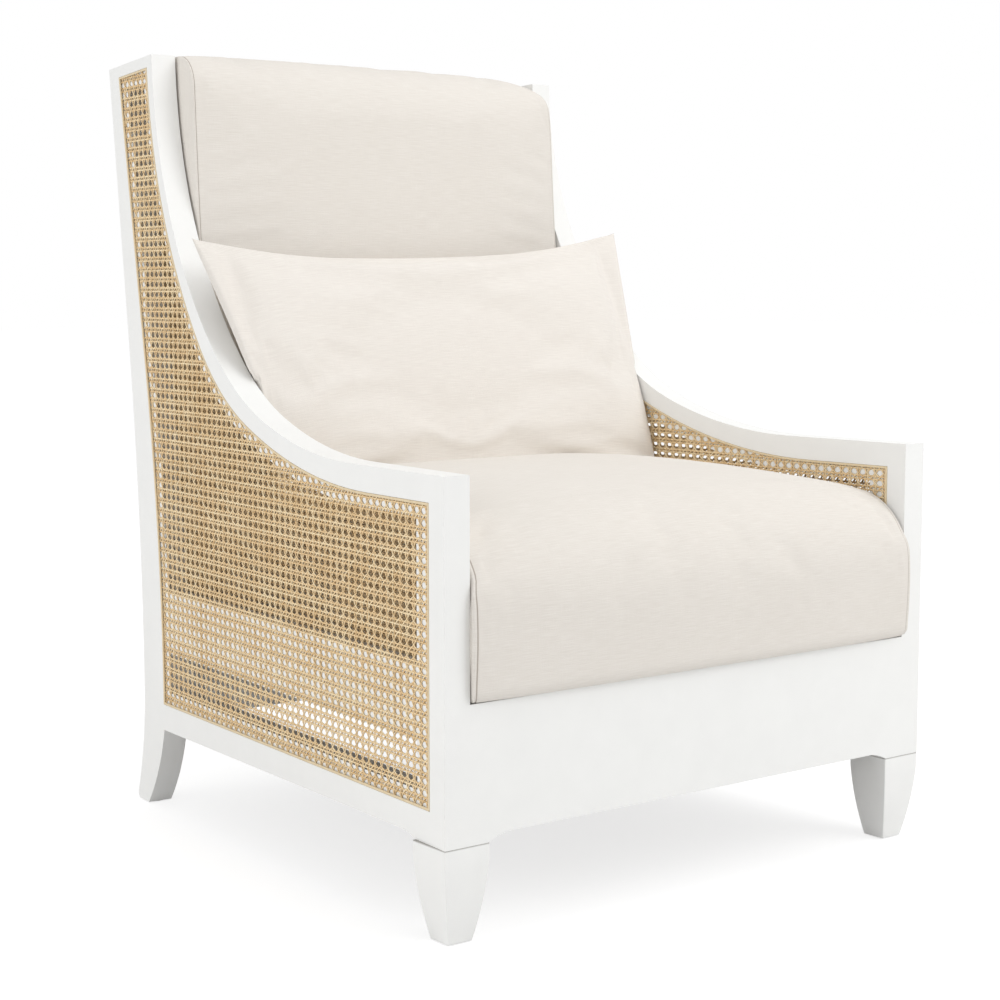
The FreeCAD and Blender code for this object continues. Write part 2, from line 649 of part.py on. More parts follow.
# Elastic straps: one layer front to back, one layer across, and a felt pad on them
LONG_STRAP_SHARES = (-0.76, -0.38, 0, 0.38, 0.76)  # of half the deck's width at the rear
CROSS_STRAP_SHARES = (0.12, 0.37, 0.62, 0.87)  # of the deck's depth
deck_rear = rear_rail_front
rear_half = inner_half(deck_rear)
layer = mm.strap_thickness + mm.strap_gap
long_level = mm.deck_bar_top
cross_level = long_level + layer
pad_level = cross_level + layer


def strap(name, x0, x1, y0, y1, level):
    corners = [FreeCAD.Vector(x0, y0, level), FreeCAD.Vector(x1, y0, level),
               FreeCAD.Vector(x1, y1, level), FreeCAD.Vector(x0, y1, level)]
    face = Part.Face(Part.makePolygon(corners + corners[:1]))
    return stand_middle(feature(name, face.extrude(FreeCAD.Vector(0, 0, mm.strap_thickness))))


long_straps = []
for number, share in enumerate(LONG_STRAP_SHARES):
    x = share * (rear_half - mm.strap_width / 2)
    long_straps.append(strap(f"long_strap_{number}", x - mm.strap_width / 2, x + mm.strap_width / 2,
                             deck_front, deck_rear, long_level))
keep(group("deck_long_straps", long_straps), "deck_long_straps")
cross_straps = []
for number, share in enumerate(CROSS_STRAP_SHARES):
    y = deck_front + share * (deck_rear - deck_front)
    half = inner_half(y + mm.strap_width / 2)
    cross_straps.append(strap(f"cross_strap_{number}", -half, half, y - mm.strap_width / 2,
                              y + mm.strap_width / 2, cross_level))
keep(group("deck_cross_straps", cross_straps), "deck_cross_straps")
keep(stand_middle(plan("deck_pad_solid", 0, None, deck_front, deck_rear, pad_level,
                       pad_level + mm.deck_pad_thickness)), "deck_pad")
keep(stand_middle(plan("dust_cover_solid", 0, None, deck_front, deck_rear,
                       mm.deck_bar_bottom - mm.dust_cover_thickness, mm.deck_bar_bottom)), "dust_cover")

# The back: everything in it follows the stile's rear edge, so it is drawn as slabs between two
# copies of that edge, a distance near and far in front of it.


def back_edge(forward):
    """The stile's rear edge as a line in the chair's middle plane, moved forwards."""
    path = Path(back_line - forward, mm.waist_height, 90)
    path.arc(mm.stile_radius + forward, -mm.stile_turn)
    return path.meet(mm.waist_reach, mm.back_top_height, -mm.back_top_slope)


def slab(near, far, low, high):
    first, second = back_edge(near), back_edge(far)
    bottom = Part.makeLine(FreeCAD.Vector(0, back_line - near, mm.waist_height),
                           FreeCAD.Vector(0, back_line - far, mm.waist_height))
    top = Part.makeLine(first.here(), second.here())
    face = face_of(first.edges + [top] + second.edges + [bottom])
    return only_face(face.common(rectangle(0, low, rear_reach + mm.overrun, high)))


def back_slab(name, near, far, low, high, ends):
    """A slab of the back, across the chair and cut at its ends by a plan block."""
    half = "Sizes.overall_width / 2"
    return stand_middle(boolean("Common", name, extrusion(f"{name}_blank", slab(near, far, low, high),
                                                          X_AXIS, half, half), ends))


back_front = back_line - mm.back_cushion_depth
back_gap = mm.spline_proud + mm.cane_gap
back_cushion_top = mm.back_top_height + mm.back_cushion_lift
full_ends = plan("back_ends", back_gap, None, back_front, rear_reach, mm.deck_bar_top, back_cushion_top)
inner_ends = plan("back_bar_ends", back_gap + mm.back_bar_width, None, back_front, rear_reach,
                  mm.deck_bar_top, back_cushion_top)
upright_ends = plan("back_upright_ends", back_gap, back_gap + mm.back_bar_width, back_front, rear_reach,
                    mm.deck_bar_top, back_cushion_top)
panel_face = mm.back_panel_inset + mm.back_panel_thickness
bar_front = panel_face + mm.back_bar_depth
back_low = mm.front_rail_top
back_high = mm.back_top_height - mm.back_frame_drop
keep(back_slab("back_panel_solid", mm.back_panel_inset, panel_face, back_low, back_high, full_ends),
     "back_panel")
both_sides(back_slab("back_upright_solid", panel_face, bar_front, back_low, back_high, upright_ends),
           "back_upright")
keep(back_slab("back_top_bar_solid", panel_face, bar_front, back_high - mm.back_bar_width, back_high,
               inner_ends), "back_top_bar")
keep(back_slab("back_bottom_bar_solid", panel_face, bar_front, back_low, back_low + mm.back_bar_width,
               inner_ends), "back_bottom_bar")

BACK_CROSS_STRAP_SHARES = (0.14, 0.29, 0.44, 0.59, 0.74, 0.89)  # of the back frame's height
BACK_LONG_STRAP_SHARES = (-0.6, 0, 0.6)  # of half the back's width
back_cross = []
for number, share in enumerate(BACK_CROSS_STRAP_SHARES):
    level = back_low + share * (back_high - back_low)
    back_cross.append(back_slab(f"back_cross_strap_{number}", bar_front + mm.strap_gap, bar_front + layer,
                                level - mm.strap_width / 2, level + mm.strap_width / 2, full_ends))
keep(group("back_cross_straps", back_cross), "back_cross_straps")
back_long = []
for number, share in enumerate(BACK_LONG_STRAP_SHARES):
    middle = share * (inner_half(rear_reach) - mm.back_bar_width)
    face = slab(bar_front + layer + mm.strap_gap, bar_front + 2 * layer, back_low, back_high)
    ribbon = extrusion(f"back_long_strap_{number}", face, X_AXIS, "Sizes.strap_width / 2",
                       "Sizes.strap_width / 2")
    ribbon.Placement.Base = FreeCAD.Vector(middle, 0, 0)
    back_long.append(stand_middle(ribbon))
keep(group("back_long_straps", back_long), "back_long_straps")


def back_y(height, forward):
    """Where a copy of the rear edge, moved forwards, stands at a height."""
    radius = mm.stile_radius + forward
    turn = math.radians(mm.stile_turn)
    lift = height - mm.waist_height
    if lift < radius * math.sin(turn):
        return back_line - forward + radius - math.sqrt(radius ** 2 - lift ** 2)
    bend = back_line - forward + radius * (1 - math.cos(turn))
    return bend + (lift - radius * math.sin(turn)) * math.tan(turn)


# Back cushion: level sections from the deck to the top. Its front swells in the middle, its sides
# draw in a little, and its upper edge is rounded.
BACK_BODY_SHARES = (0, 0.05, 0.13, 0.25, 0.4, 0.55, 0.7, 0.81, 0.88)  # of the height below the rounding
BACK_ROUND_SHARES = (0, 0.3, 0.6, 0.85, 0.97)  # of the rounding's height
BACK_LEAST_CROWN_SHARE = 0.45  # of the crown, at the lower and upper edges
BACK_FULL_SHARE = 0.1  # of its height, where the cushion starts to get deeper
BACK_DRAW_SHARE = 1.6  # of the side gap, how much more the sides draw in at half the height
cushion_back = bar_front + 2 * layer + mm.soft_gap
cushion_rise = back_cushion_top - mm.back_cushion_bottom
round_from = back_cushion_top - mm.back_edge_radius


def back_section(height):
    share = (height - mm.back_cushion_bottom) / cushion_rise
    swell = 4 * share * (1 - share)
    over = max(height - round_from, 0) / mm.back_edge_radius
    pulled = mm.back_edge_radius * (1 - math.sqrt(1 - over ** 2))
    rear = back_y(height, cushion_back)
    deeper = max(share - BACK_FULL_SHARE, 0) / (1 - BACK_FULL_SHARE)
    depth = mm.back_cushion_depth + (mm.back_cushion_top_depth - mm.back_cushion_depth) * deeper ** 2
    front = back_y(height, depth) + pulled
    gap = mm.back_side_gap * (1 + BACK_DRAW_SHARE * swell) + pulled / 2
    rear_x, front_x = inner_half(rear) - gap, inner_half(front) - gap
    corners = [FreeCAD.Vector(-rear_x, rear, height), FreeCAD.Vector(rear_x, rear, height),
               FreeCAD.Vector(front_x, front, height), FreeCAD.Vector(-front_x, front, height)]
    crown = mm.back_crown * (BACK_LEAST_CROWN_SHARE + (1 - BACK_LEAST_CROWN_SHARE) * swell)
    middle = FreeCAD.Vector(0, front - crown, height)
    return Part.Wire([Part.makeLine(corners[0], corners[1]), Part.makeLine(corners[1], corners[2]),
                      Part.Arc(corners[2], middle, corners[3]).toShape(),
                      Part.makeLine(corners[3], corners[0])])


def loft(name, wires):
    made = doc.addObject("Part::Loft", name)
    made.Sections = [feature(f"{name}_section_{number}", wire) for number, wire in enumerate(wires)]
    made.Solid = True
    made.Ruled = True
    return made


back_levels = [mm.back_cushion_bottom + share * (round_from - mm.back_cushion_bottom)
               for share in BACK_BODY_SHARES]
back_levels += [round_from + share * mm.back_edge_radius for share in BACK_ROUND_SHARES]
back_body = stand_middle(loft("back_cushion_body", [back_section(level) for level in back_levels]))
# The padding runs back over the top of the frame to the outside panel.
cap_top = back_levels[-1] - mm.back_edge_radius / 4
cap_ends = plan("back_cap_ends", mm.back_side_gap, None, back_front, rear_reach,
                mm.deck_bar_top, back_cushion_top)
back_cap = back_slab("back_cushion_cap", mm.back_panel_inset, cushion_back + mm.back_edge_radius,
                     back_high + mm.soft_gap, cap_top, cap_ends)
keep(boolean("Fuse", "back_cushion_solid", back_body, back_cap), "back_cushion")

# Seat cushion: upright sections from the front to the rear. The cover runs over its round front, the
# top swells in the middle, and the sides draw in at half its depth.
SEAT_ROUND_SHARES = (0.03, 0.15, 0.4, 0.7, 1)  # of the rounding's depth
SEAT_BODY_SHARES = (0.1, 0.22, 0.36, 0.5, 0.64, 0.78, 0.9)  # of the depth between the roundings
SEAT_LEAST_CROWN_SHARE = 0.3  # of the crown, at the front and rear edges
SIDE_BULGE_SHARE = 0.3  # of the side gap, how far a side face stands proud between its edges
deck_level = pad_level + mm.deck_pad_thickness
seat_bottom = max(deck_level, mm.front_rail_top) + mm.soft_gap
seat_front = -mm.seat_front_swell
seat_rear = mm.waist_reach - mm.seat_rear_margin


def seat_outline(y):
    """Lower and upper edge, crown and half width of the seat cushion, behind the front of the posts."""
    front_share = min((y - seat_front) / mm.seat_front_radius, 1)
    rear_share = min((seat_rear - y) / mm.seat_rear_radius, 1)
    front_drop = mm.seat_front_radius * (1 - math.sqrt(1 - (1 - front_share) ** 2))
    rear_drop = mm.seat_rear_radius * (1 - math.sqrt(1 - (1 - rear_share) ** 2))
    drop = front_drop + rear_drop
    share = (y - seat_front) / (seat_rear - seat_front)
    swell = 4 * share * (1 - share)
    low = seat_bottom + drop / 2
    high = mm.seat_edge_height - drop
    half = inner_half(max(y, 0)) - mm.seat_side_gap - mm.seat_draw_in * swell - drop / 4
    crown = mm.seat_crown * (SEAT_LEAST_CROWN_SHARE + (1 - SEAT_LEAST_CROWN_SHARE) * swell)
    return low, high, crown, half


def seat_section(y):
    low, high, crown, half = seat_outline(y)
    bulge = half + mm.seat_side_gap * SIDE_BULGE_SHARE
    middle = (low + high) / 2
    corners = [FreeCAD.Vector(-half, y, low), FreeCAD.Vector(half, y, low),
               FreeCAD.Vector(half, y, high), FreeCAD.Vector(-half, y, high)]
    return Part.Wire([
        Part.makeLine(corners[0], corners[1]),
        Part.Arc(corners[1], FreeCAD.Vector(bulge, y, middle), corners[2]).toShape(),
        Part.Arc(corners[2], FreeCAD.Vector(0, y, high + crown), corners[3]).toShape(),
        Part.Arc(corners[3], FreeCAD.Vector(-bulge, y, middle), corners[0]).toShape()])


body_front = seat_front + mm.seat_front_radius
body_rear = seat_rear - mm.seat_rear_radius
seat_stations = [seat_front + share * mm.seat_front_radius for share in SEAT_ROUND_SHARES]
seat_stations += [body_front + share * (body_rear - body_front) for share in SEAT_BODY_SHARES]
seat_stations += [seat_rear - share * mm.seat_rear_radius for share in reversed(SEAT_ROUND_SHARES)]
seat_blank = loft("seat_cushion_blank", [seat_section(y) for y in seat_stations])
core_front = -mm.seat_front_swell + mm.seat_core_margin
core_rear = seat_rear - mm.seat_core_margin
core_low = seat_bottom + mm.seat_core_margin / 2
core_high = mm.seat_edge_height - mm.seat_core_margin / 2
core = plan("seat_core_room", mm.seat_core_margin, None, core_front, core_rear, core_low, core_high)
keep(stand_middle(boolean("Cut", "seat_cushion_solid", seat_blank, core)), "seat_cushion")
keep(stand_middle(plan("seat_foam_solid", mm.seat_core_margin + mm.soft_gap, None,
                       core_front + mm.soft_gap, core_rear - mm.soft_gap,
                       core_low + mm.soft_gap, core_high - mm.soft_gap)), "seat_foam")

# Lumbar pillow: sections from end to end, each a lens between the lower and the upper seam. It leans
# back, bows so that its ends lie in front of its middle, and spreads above the arms.
PILLOW_SECTION_SHARES = (-1, -0.97, -0.9, -0.78, -0.6, -0.35, 0, 0.35, 0.6, 0.78, 0.9, 0.97, 1)
PILLOW_FULLNESS = 0.55  # how soon the pillow swells from its ends
lean = math.radians(mm.pillow_lean)
pillow_reach = mm.waist_reach - mm.pillow_rear_margin
pillow_low_half = inner_half(pillow_reach) - mm.pillow_side_gap
pillow_high_half = inner_half(pillow_reach) + mm.pillow_ear_reach
through = FreeCAD.Vector(0, math.cos(lean), -math.sin(lean))


def seat_top(x, y):
    """Height of the seat cushion's crown at a point of its plan."""
    low, high, crown, half = seat_outline(y)
    return high + crown * (1 - (x / half) ** 2)


def pillow_section(share):
    reach = pillow_reach + mm.pillow_bow * (1 - share ** 2)
    low = seat_top(share * pillow_low_half, reach) + mm.pillow_seat_gap
    dip = mm.pillow_dip * (1 - share ** 4)
    rise = mm.pillow_height * math.cos(lean) - dip
    bottom = FreeCAD.Vector(share * pillow_low_half, reach, low)
    top_z = mm.seat_edge_height + mm.pillow_seat_gap + rise
    top = FreeCAD.Vector(share * pillow_high_half,
                         reach + (top_z - low) * math.tan(lean), top_z)
    swell = mm.pillow_half_thickness - mm.pillow_end_half_thickness
    half = mm.pillow_end_half_thickness + swell * (1 - share ** 2) ** PILLOW_FULLNESS
    middle = (bottom + top) * 0.5
    return Part.Wire([Part.Arc(bottom, middle - through * half, top).toShape(),
                      Part.Arc(top, middle + through * half, bottom).toShape()])


keep(stand_middle(loft("lumbar_pillow_solid", [pillow_section(share) for share in PILLOW_SECTION_SHARES])),
     "lumbar_pillow")

# Recompute, check every object and write the pieces
doc.recompute()
faults = [f"{o.Name}: {o.State}" for o in doc.Objects if {"Invalid", "Error"} & set(o.State)]
for piece in nodes:
    shape = piece.Shape
    if shape.isNull() or not shape.isValid() or not shape.Solids:
        faults.append(f"{piece.Label}: no valid solid")
if faults:
    raise RuntimeError("; ".join(faults))

os.makedirs("parts", exist_ok=True)
for piece in nodes:
    piece.Shape.exportStep(f"parts/{piece.Label}.step")
    print(f"{piece.Label}: {len(piece.Shape.Solids)} solids, {piece.Shape.Volume:.0f} mm3")
print(f"{len(nodes)} pieces; setback {setback:.2f} mm")
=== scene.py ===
import math

import bmesh
import bpy
import numpy as np
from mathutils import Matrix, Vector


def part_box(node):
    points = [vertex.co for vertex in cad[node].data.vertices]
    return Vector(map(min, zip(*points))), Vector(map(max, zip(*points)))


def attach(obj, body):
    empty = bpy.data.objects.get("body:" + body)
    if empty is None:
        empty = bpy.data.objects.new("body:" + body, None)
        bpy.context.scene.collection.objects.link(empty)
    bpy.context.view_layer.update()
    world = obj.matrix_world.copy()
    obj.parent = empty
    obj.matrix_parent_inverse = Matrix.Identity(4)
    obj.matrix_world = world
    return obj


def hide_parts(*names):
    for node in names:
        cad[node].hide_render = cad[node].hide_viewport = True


# An accent chair: two white-painted side frames with cane panels carry an upholstered back and a
# webbed seat deck, on which lie a loose seat cushion and a lumbar pillow. Everything is in metres.
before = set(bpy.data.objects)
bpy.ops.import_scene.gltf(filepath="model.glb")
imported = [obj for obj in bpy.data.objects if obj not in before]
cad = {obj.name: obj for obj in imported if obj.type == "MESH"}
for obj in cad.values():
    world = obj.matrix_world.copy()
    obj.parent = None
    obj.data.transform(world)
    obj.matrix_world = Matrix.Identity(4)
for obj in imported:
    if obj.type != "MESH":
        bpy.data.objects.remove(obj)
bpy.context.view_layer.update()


# Painted frame. Posts, arms, rails and rear legs are solid wood, jointed, filled and sprayed
# white, so no joint shows: the members are united into one shell and its edges are eased.
TOE_IN = math.radians(3.44)  # each side frame turns in towards the rear
SIDE_THICK = 0.034  # of every member of a side frame
SIDE_MEMBERS = "front_post", "bottom_rail", "arm_rail", "rear_stile", "top_rail"
EASED_EDGE = 0.0014
RAIL_TENON = 0.001  # how far the copied rails run into the posts, so that the shells unite
WELD = 3e-6  # points nearer than this are one
FLUSH = 3e-5  # and points this near the posts' front face lie on it

post_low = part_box("left_front_post")[0]
SIDE_CORNER = np.array([post_low.x, post_low.y, 0.0])
SIDE_AXES = np.array([[math.cos(TOE_IN), -math.sin(TOE_IN), 0.0],
                      [math.sin(TOE_IN), math.cos(TOE_IN), 0.0],
                      [0.0, 0.0, 1.0]])


def in_side(points):
    """World points along the left frame's own axes: inwards from its outer face, back along it, and
    up. The axes are the world's, turned by the toe-in about the post's outer front edge."""
    return (points - SIDE_CORNER) @ SIDE_AXES.T


def from_side(places):
    """The world points of places along the left frame's own axes: the turn above, undone."""
    return places @ SIDE_AXES + SIDE_CORNER


def linked(name, data):
    """A new object of a mesh, lamp or camera, linked into the scene."""
    made = bpy.data.objects.new(name, data)
    bpy.context.scene.collection.objects.link(made)
    return made


def shell_of(name, points, faces):
    """A piece from an array of points and lists of faces."""
    mesh = bpy.data.meshes.new(name)
    mesh.from_pydata(points, [], faces)
    return linked(name, mesh)


def whole_faces(mesh):
    """Merges a mesh's doubled points and makes each flat region of triangles one face."""
    shell = bmesh.new()
    shell.from_mesh(mesh)
    bmesh.ops.remove_doubles(shell, verts=shell.verts, dist=WELD)
    bmesh.ops.dissolve_limit(shell, angle_limit=math.radians(0.4), verts=shell.verts, edges=shell.edges)
    bmesh.ops.recalc_face_normals(shell, faces=shell.faces)
    corners = [corner.co[:] for corner in shell.verts]
    faces = [[corner.index for corner in face.verts] for face in shell.faces]
    shell.free()
    return np.array(corners), faces


def united(name, shells):
    """One closed shell round several that overlap or touch: exact boolean unions, applied in turn."""
    first = shells[0]
    for other in shells[1:]:
        joint = first.modifiers.new("joint", "BOOLEAN")
        joint.operation, joint.solver, joint.object = "UNION", "EXACT", other
        made = bpy.data.meshes.new_from_object(first.evaluated_get(bpy.context.evaluated_depsgraph_get()))
        first.modifiers.clear()
        first.data = made
        bpy.data.objects.remove(other)
    first.name = name
    return first


def eased(piece, width, segments=3):
    """Rounds every edge that turns by more than 28 degrees, and shades the flats flat."""
    easing = piece.modifiers.new("eased_edges", "BEVEL")
    easing.width, easing.segments, easing.miter_outer = width, segments, "MITER_ARC"
    easing.limit_method, easing.angle_limit = "ANGLE", math.radians(28)
    easing.use_clamp_overlap = True
    shading = piece.modifiers.new("flat_flats", "WEIGHTED_NORMAL")
    shading.weight, shading.keep_sharp = 60, False
    piece.data.shade_smooth()
    return piece


def flush(corners):
    """Points rounded to a tenth of a micron, with those next to the posts' front face put on it."""
    corners = np.round(corners, 7)
    corners[abs(corners[:, 1] - post_low.y) < FLUSH, 1] = post_low.y
    return corners


members = []
for member in SIDE_MEMBERS:
    corners, faces = whole_faces(cad[f"left_{member}"].data)
    members.append(shell_of(member, np.round(in_side(corners), 6), faces))
left_side = united("left_side_shell", members)

halves = []
for mirror in (1, -1):
    corners, faces = whole_faces(left_side.data)
    corners = flush(from_side(corners)) * [mirror, 1, 1]
    halves.append(shell_of("side", corners, [face[::mirror] for face in faces]))
bpy.data.objects.remove(left_side)

for rail in ("front_rail", "rear_rail"):
    corners, faces = whole_faces(cad[rail].data)
    left = corners[:, 0] < 0
    inner_face = in_side(corners * np.where(left, 1, -1)[:, None] * [1, 0, 0] + corners * [0, 1, 1])[:, 0]
    at_end = abs(inner_face - SIDE_THICK) < 1e-4
    corners[at_end, 0] += np.where(left[at_end], -RAIL_TENON, RAIL_TENON)
    halves.append(shell_of(rail, flush(corners), faces))

raw_frame = united("raw_frame", halves)
corners, faces = whole_faces(raw_frame.data)
bpy.data.objects.remove(raw_frame)
painted_frame = eased(shell_of("painted_frame", corners, faces), EASED_EDGE)


def new_finish(name):
    """An empty material and its tree."""
    material = bpy.data.materials.new(name)
    material.use_nodes = True
    return material, material.node_tree


def feed(tree, node, inputs):
    """Gives a node's inputs, by name or number, their values or the sockets that they read."""
    for socket, value in inputs.items():
        if isinstance(value, bpy.types.NodeSocket):
            tree.links.new(value, node.inputs[socket])
        else:
            node.inputs[socket].default_value = value


def put(tree, kind, inputs=None, **settings):
    """A shader node with its settings and inputs."""
    made = tree.nodes.new(kind)
    for setting, value in settings.items():
        setattr(made, setting, value)
    feed(tree, made, inputs or {})
    return made


def srgb(red, green, blue):
    """A linear colour from sRGB values of 0 to 255: divided, then raised to 2.4 above the toe."""
    share = np.array([red, green, blue]) / 255
    linear = np.where(share > 0.04045, ((share + 0.055) / 1.055) ** 2.4, share / 12.92)
    return (*linear.tolist(), 1.0)


def scaled(tree, places, scale):
    """Coordinates multiplied along each axis."""
    return put(tree, "ShaderNodeMapping", {"Vector": places, "Scale": scale}).outputs[0]


def stretched(tree, scale):
    """The piece's own coordinates, scaled."""
    return scaled(tree, put(tree, "ShaderNodeTexCoord").outputs["Object"], scale)


def noise(tree, places, detail, scale=5.0, roughness=0.5):
    """A fractal noise between 0 and 1."""
    return put(tree, "ShaderNodeTexNoise", {"Vector": places, "Scale": scale, "Detail": detail,
                                            "Roughness": roughness}).outputs["Fac"]


def maths(tree, operation, *values):
    """The result of a Math node."""
    return put(tree, "ShaderNodeMath", dict(enumerate(values)), operation=operation).outputs[0]


def ranged(tree, value, low=0.0, high=1.0, to_low=0.0, to_high=1.0):
    """A value's clamped share of the way from low to high, read off between two others."""
    return put(tree, "ShaderNodeMapRange", {"Value": value, "From Min": low, "From Max": high,
                                            "To Min": to_low, "To Max": to_high}).outputs[0]


def toned(tree, share, dark, light):
    """A colour between two by a share."""
    return put(tree, "ShaderNodeMix", {0: share, 6: dark, 7: light}, data_type="RGBA").outputs[2]


def finished(material, tone, height, strength, distance, settings):
    """A material with its tone, a bump of its height, and its shader's other inputs."""
    tree = material.node_tree
    relief = put(tree, "ShaderNodeBump", {"Height": height, "Strength": strength, "Distance": distance})
    feed(tree, tree.nodes["Principled BSDF"], {"Base Color": tone, "Normal": relief.outputs[0], **settings})
    return material


PAINT_TONES = srgb(238, 238, 236), srgb(244, 244, 242)
# Painted shade below the front legs' open joints, standing in for the shadow in the groove:
JOINT_SHADE_TONE = srgb(120, 114, 106)
JOINT_SHADE_REACH = 0.002  # how far the painted shade reaches below an open joint


def satin_paint(name, joint_height=None):
    """Sprayed satin lacquer: near white, with a faint cloud of tone, the last of the wood's grain as
    the smallest of bumps, and a gloss that varies a little. Given a joint's height, a painted shade
    darkens what lies just below it, for the shadow in the open joint."""
    material, tree = new_finish(name)
    cloud = noise(tree, stretched(tree, (5, 5, 5)), 3.0)
    tone = toned(tree, cloud, *PAINT_TONES)
    if joint_height:
        height = put(tree, "ShaderNodeSeparateXYZ", {0: stretched(tree, (1, 1, 1))}).outputs["Z"]
        # painted shade: darker just below the joint's height, for the groove's shadow
        joint_shade = ranged(tree, height, joint_height - JOINT_SHADE_REACH, joint_height, to_high=0.8)
        tone = toned(tree, joint_shade, tone, JOINT_SHADE_TONE)
    grain = noise(tree, stretched(tree, (900, 60, 60)), 4.0)
    spray = noise(tree, stretched(tree, (260, 260, 260)), 2.0)
    gloss = ranged(tree, cloud, to_low=0.36, to_high=0.46)
    return finished(material, tone, maths(tree, "ADD", grain, spray), 0.12, 0.0004,
                    {"Roughness": gloss, "Specular IOR Level": 0.4})


paint = satin_paint("satin_paint")


def finish_with(piece, material):
    """Gives a piece its material, in its only slot."""
    piece.data.materials.clear()
    piece.data.materials.append(material)


finish_with(painted_frame, paint)
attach(painted_frame, "frame")
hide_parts("front_rail", "rear_rail", *[
    f"{side}_{member}" for side in ("left", "right") for member in SIDE_MEMBERS])


# Front legs. Each is a separate tapered block, bolted up under its post, so a fine dark line
# shows between the two: its groove, with painted shade just below the leg's top for the groove's
# shadow. The edges are eased all round.
LEG_EASED_EDGE = 0.0028
leg_paint = satin_paint("leg_paint", joint_height=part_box("left_front_leg")[1][2])

for side in ("left", "right"):
    corners, faces = whole_faces(cad[f"{side}_front_leg"].data)
    front_leg = eased(shell_of(f"{side}_leg_block", corners, faces), LEG_EASED_EDGE)
    finish_with(front_leg, leg_paint)
    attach(front_leg, "frame")
    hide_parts(f"{side}_front_leg")


# Seat rails. The boards that carry the deck inside each side frame, painted with it; they show
# white through the lower cane. Each keeps its CAD mesh.
for side in ("left", "right"):
    finish_with(cad[f"{side}_seat_rail"], paint)


# Cane panels. Hand-woven seven-step cane webbing: pairs of strands up and along with diagonals
# between them leave eight-sided holes. It is pressed into the frame's grooves.
PITCH_ALONG = 0.0140
PITCH_UP = 0.0135
HOLE_PLACE = np.array([0.0445, 0.3961])  # one hole's middle, along from the front and up
UPRIGHT_APART = 0.0014  # half the distance between the two upright strands of a pair
LEVEL_APART = 0.0021  # and between the two level ones
UPRIGHT_HALF = 0.0011  # half a strand's width
LEVEL_HALF = 0.00125
DIAGONAL_HALF = 0.00105
STRAND_THICK = 0.0006
MARKS = 6  # places in one pitch at which a strand's height is given
PAIR_WAVE = np.array([0.0, 0.4, 1.0, 0.0, -1.0, -0.4]) * 0.00034  # over one strand, under the other
DIAGONAL_WAVE = np.array([-1.0, -0.9, 0.9, 1.0, 0.9, -0.9]) * 0.0006
WAVE_RUN = 0.0016  # from the crossing of a strand out to where the wave begins
HAND_SHIFT = 0.00016  # how far a strand strays from its true line
HAND_WIDTH = 0.04  # and by what share its width varies
SHIFT_RUN, WIDTH_RUN = 0.05, 0.03  # the slowness of either change along it
OWN_TONE = 40  # how far apart in the bark's noise the strands are read
UNDER_SPLINE = 0.0016  # where the strands stop, inside the spline's outer edge
OUTER_SHEET = 0.0021  # its middle, in from the frame's outer face
INNER_SHEET = 0.0319
SPLINE_PROUD = 0.0008  # how far the spline stands out of the frame


def ring_outline(ring, face_place):
    """The outer edge of a flat ring such as the spline, as (along, up) points in order. Of the faces
    that lie at face_place, the edges with one face only make two loops; the longer is the outer one."""
    shell = bmesh.new()
    shell.from_mesh(ring.data)
    bmesh.ops.remove_doubles(shell, verts=shell.verts, dist=WELD)
    places = in_side(np.array([corner.co[:] for corner in shell.verts]))
    level = abs(places[:, 0] - face_place) < 1e-4
    flat = {face.index for face in shell.faces if all(level[corner.index] for corner in face.verts)}
    rim = [edge for edge in shell.edges if sum(face.index in flat for face in edge.link_faces) == 1]
    beside = {}
    for edge in rim:
        a, b = (corner.index for corner in edge.verts)
        beside.setdefault(a, []).append(b)
        beside.setdefault(b, []).append(a)
    shell.free()
    loops = []
    while beside:
        loop = [next(iter(beside))]
        while loop[-1] in beside:
            loop += [corner for corner in beside.pop(loop[-1]) if corner in beside][:1]
        loops.append(places[loop][:, 1:])
    spans = [np.ptp(loop[:, 0]) for loop in loops]
    return loops[int(np.argmax(spans))]


def within(spots, outline, margin):
    """Which (along, up) spots lie inside a closed outline by more than a margin: an odd number of its
    edges lies above the spot, and the nearest of them is further off than the margin."""
    start, end = outline, np.roll(outline, -1, axis=0)
    flat = spots.reshape(-1, 1, 2)
    crosses = (start[:, 0] > flat[..., 0]) != (end[:, 0] > flat[..., 0])
    run = np.where(end[:, 0] == start[:, 0], 1e-12, end[:, 0] - start[:, 0])
    level = start[:, 1] + (flat[..., 0] - start[:, 0]) / run * (end[:, 1] - start[:, 1])
    inside = (crosses & (level > flat[..., 1])).sum(axis=1) % 2 == 1
    edge = end - start
    share = np.clip(((flat - start) * edge).sum(axis=-1) / (edge ** 2).sum(axis=-1), 0, 1)
    apart = np.linalg.norm(flat - start - share[..., None] * edge, axis=-1).min(axis=1)
    return (inside & (apart > margin)).reshape(spots.shape[:-1])


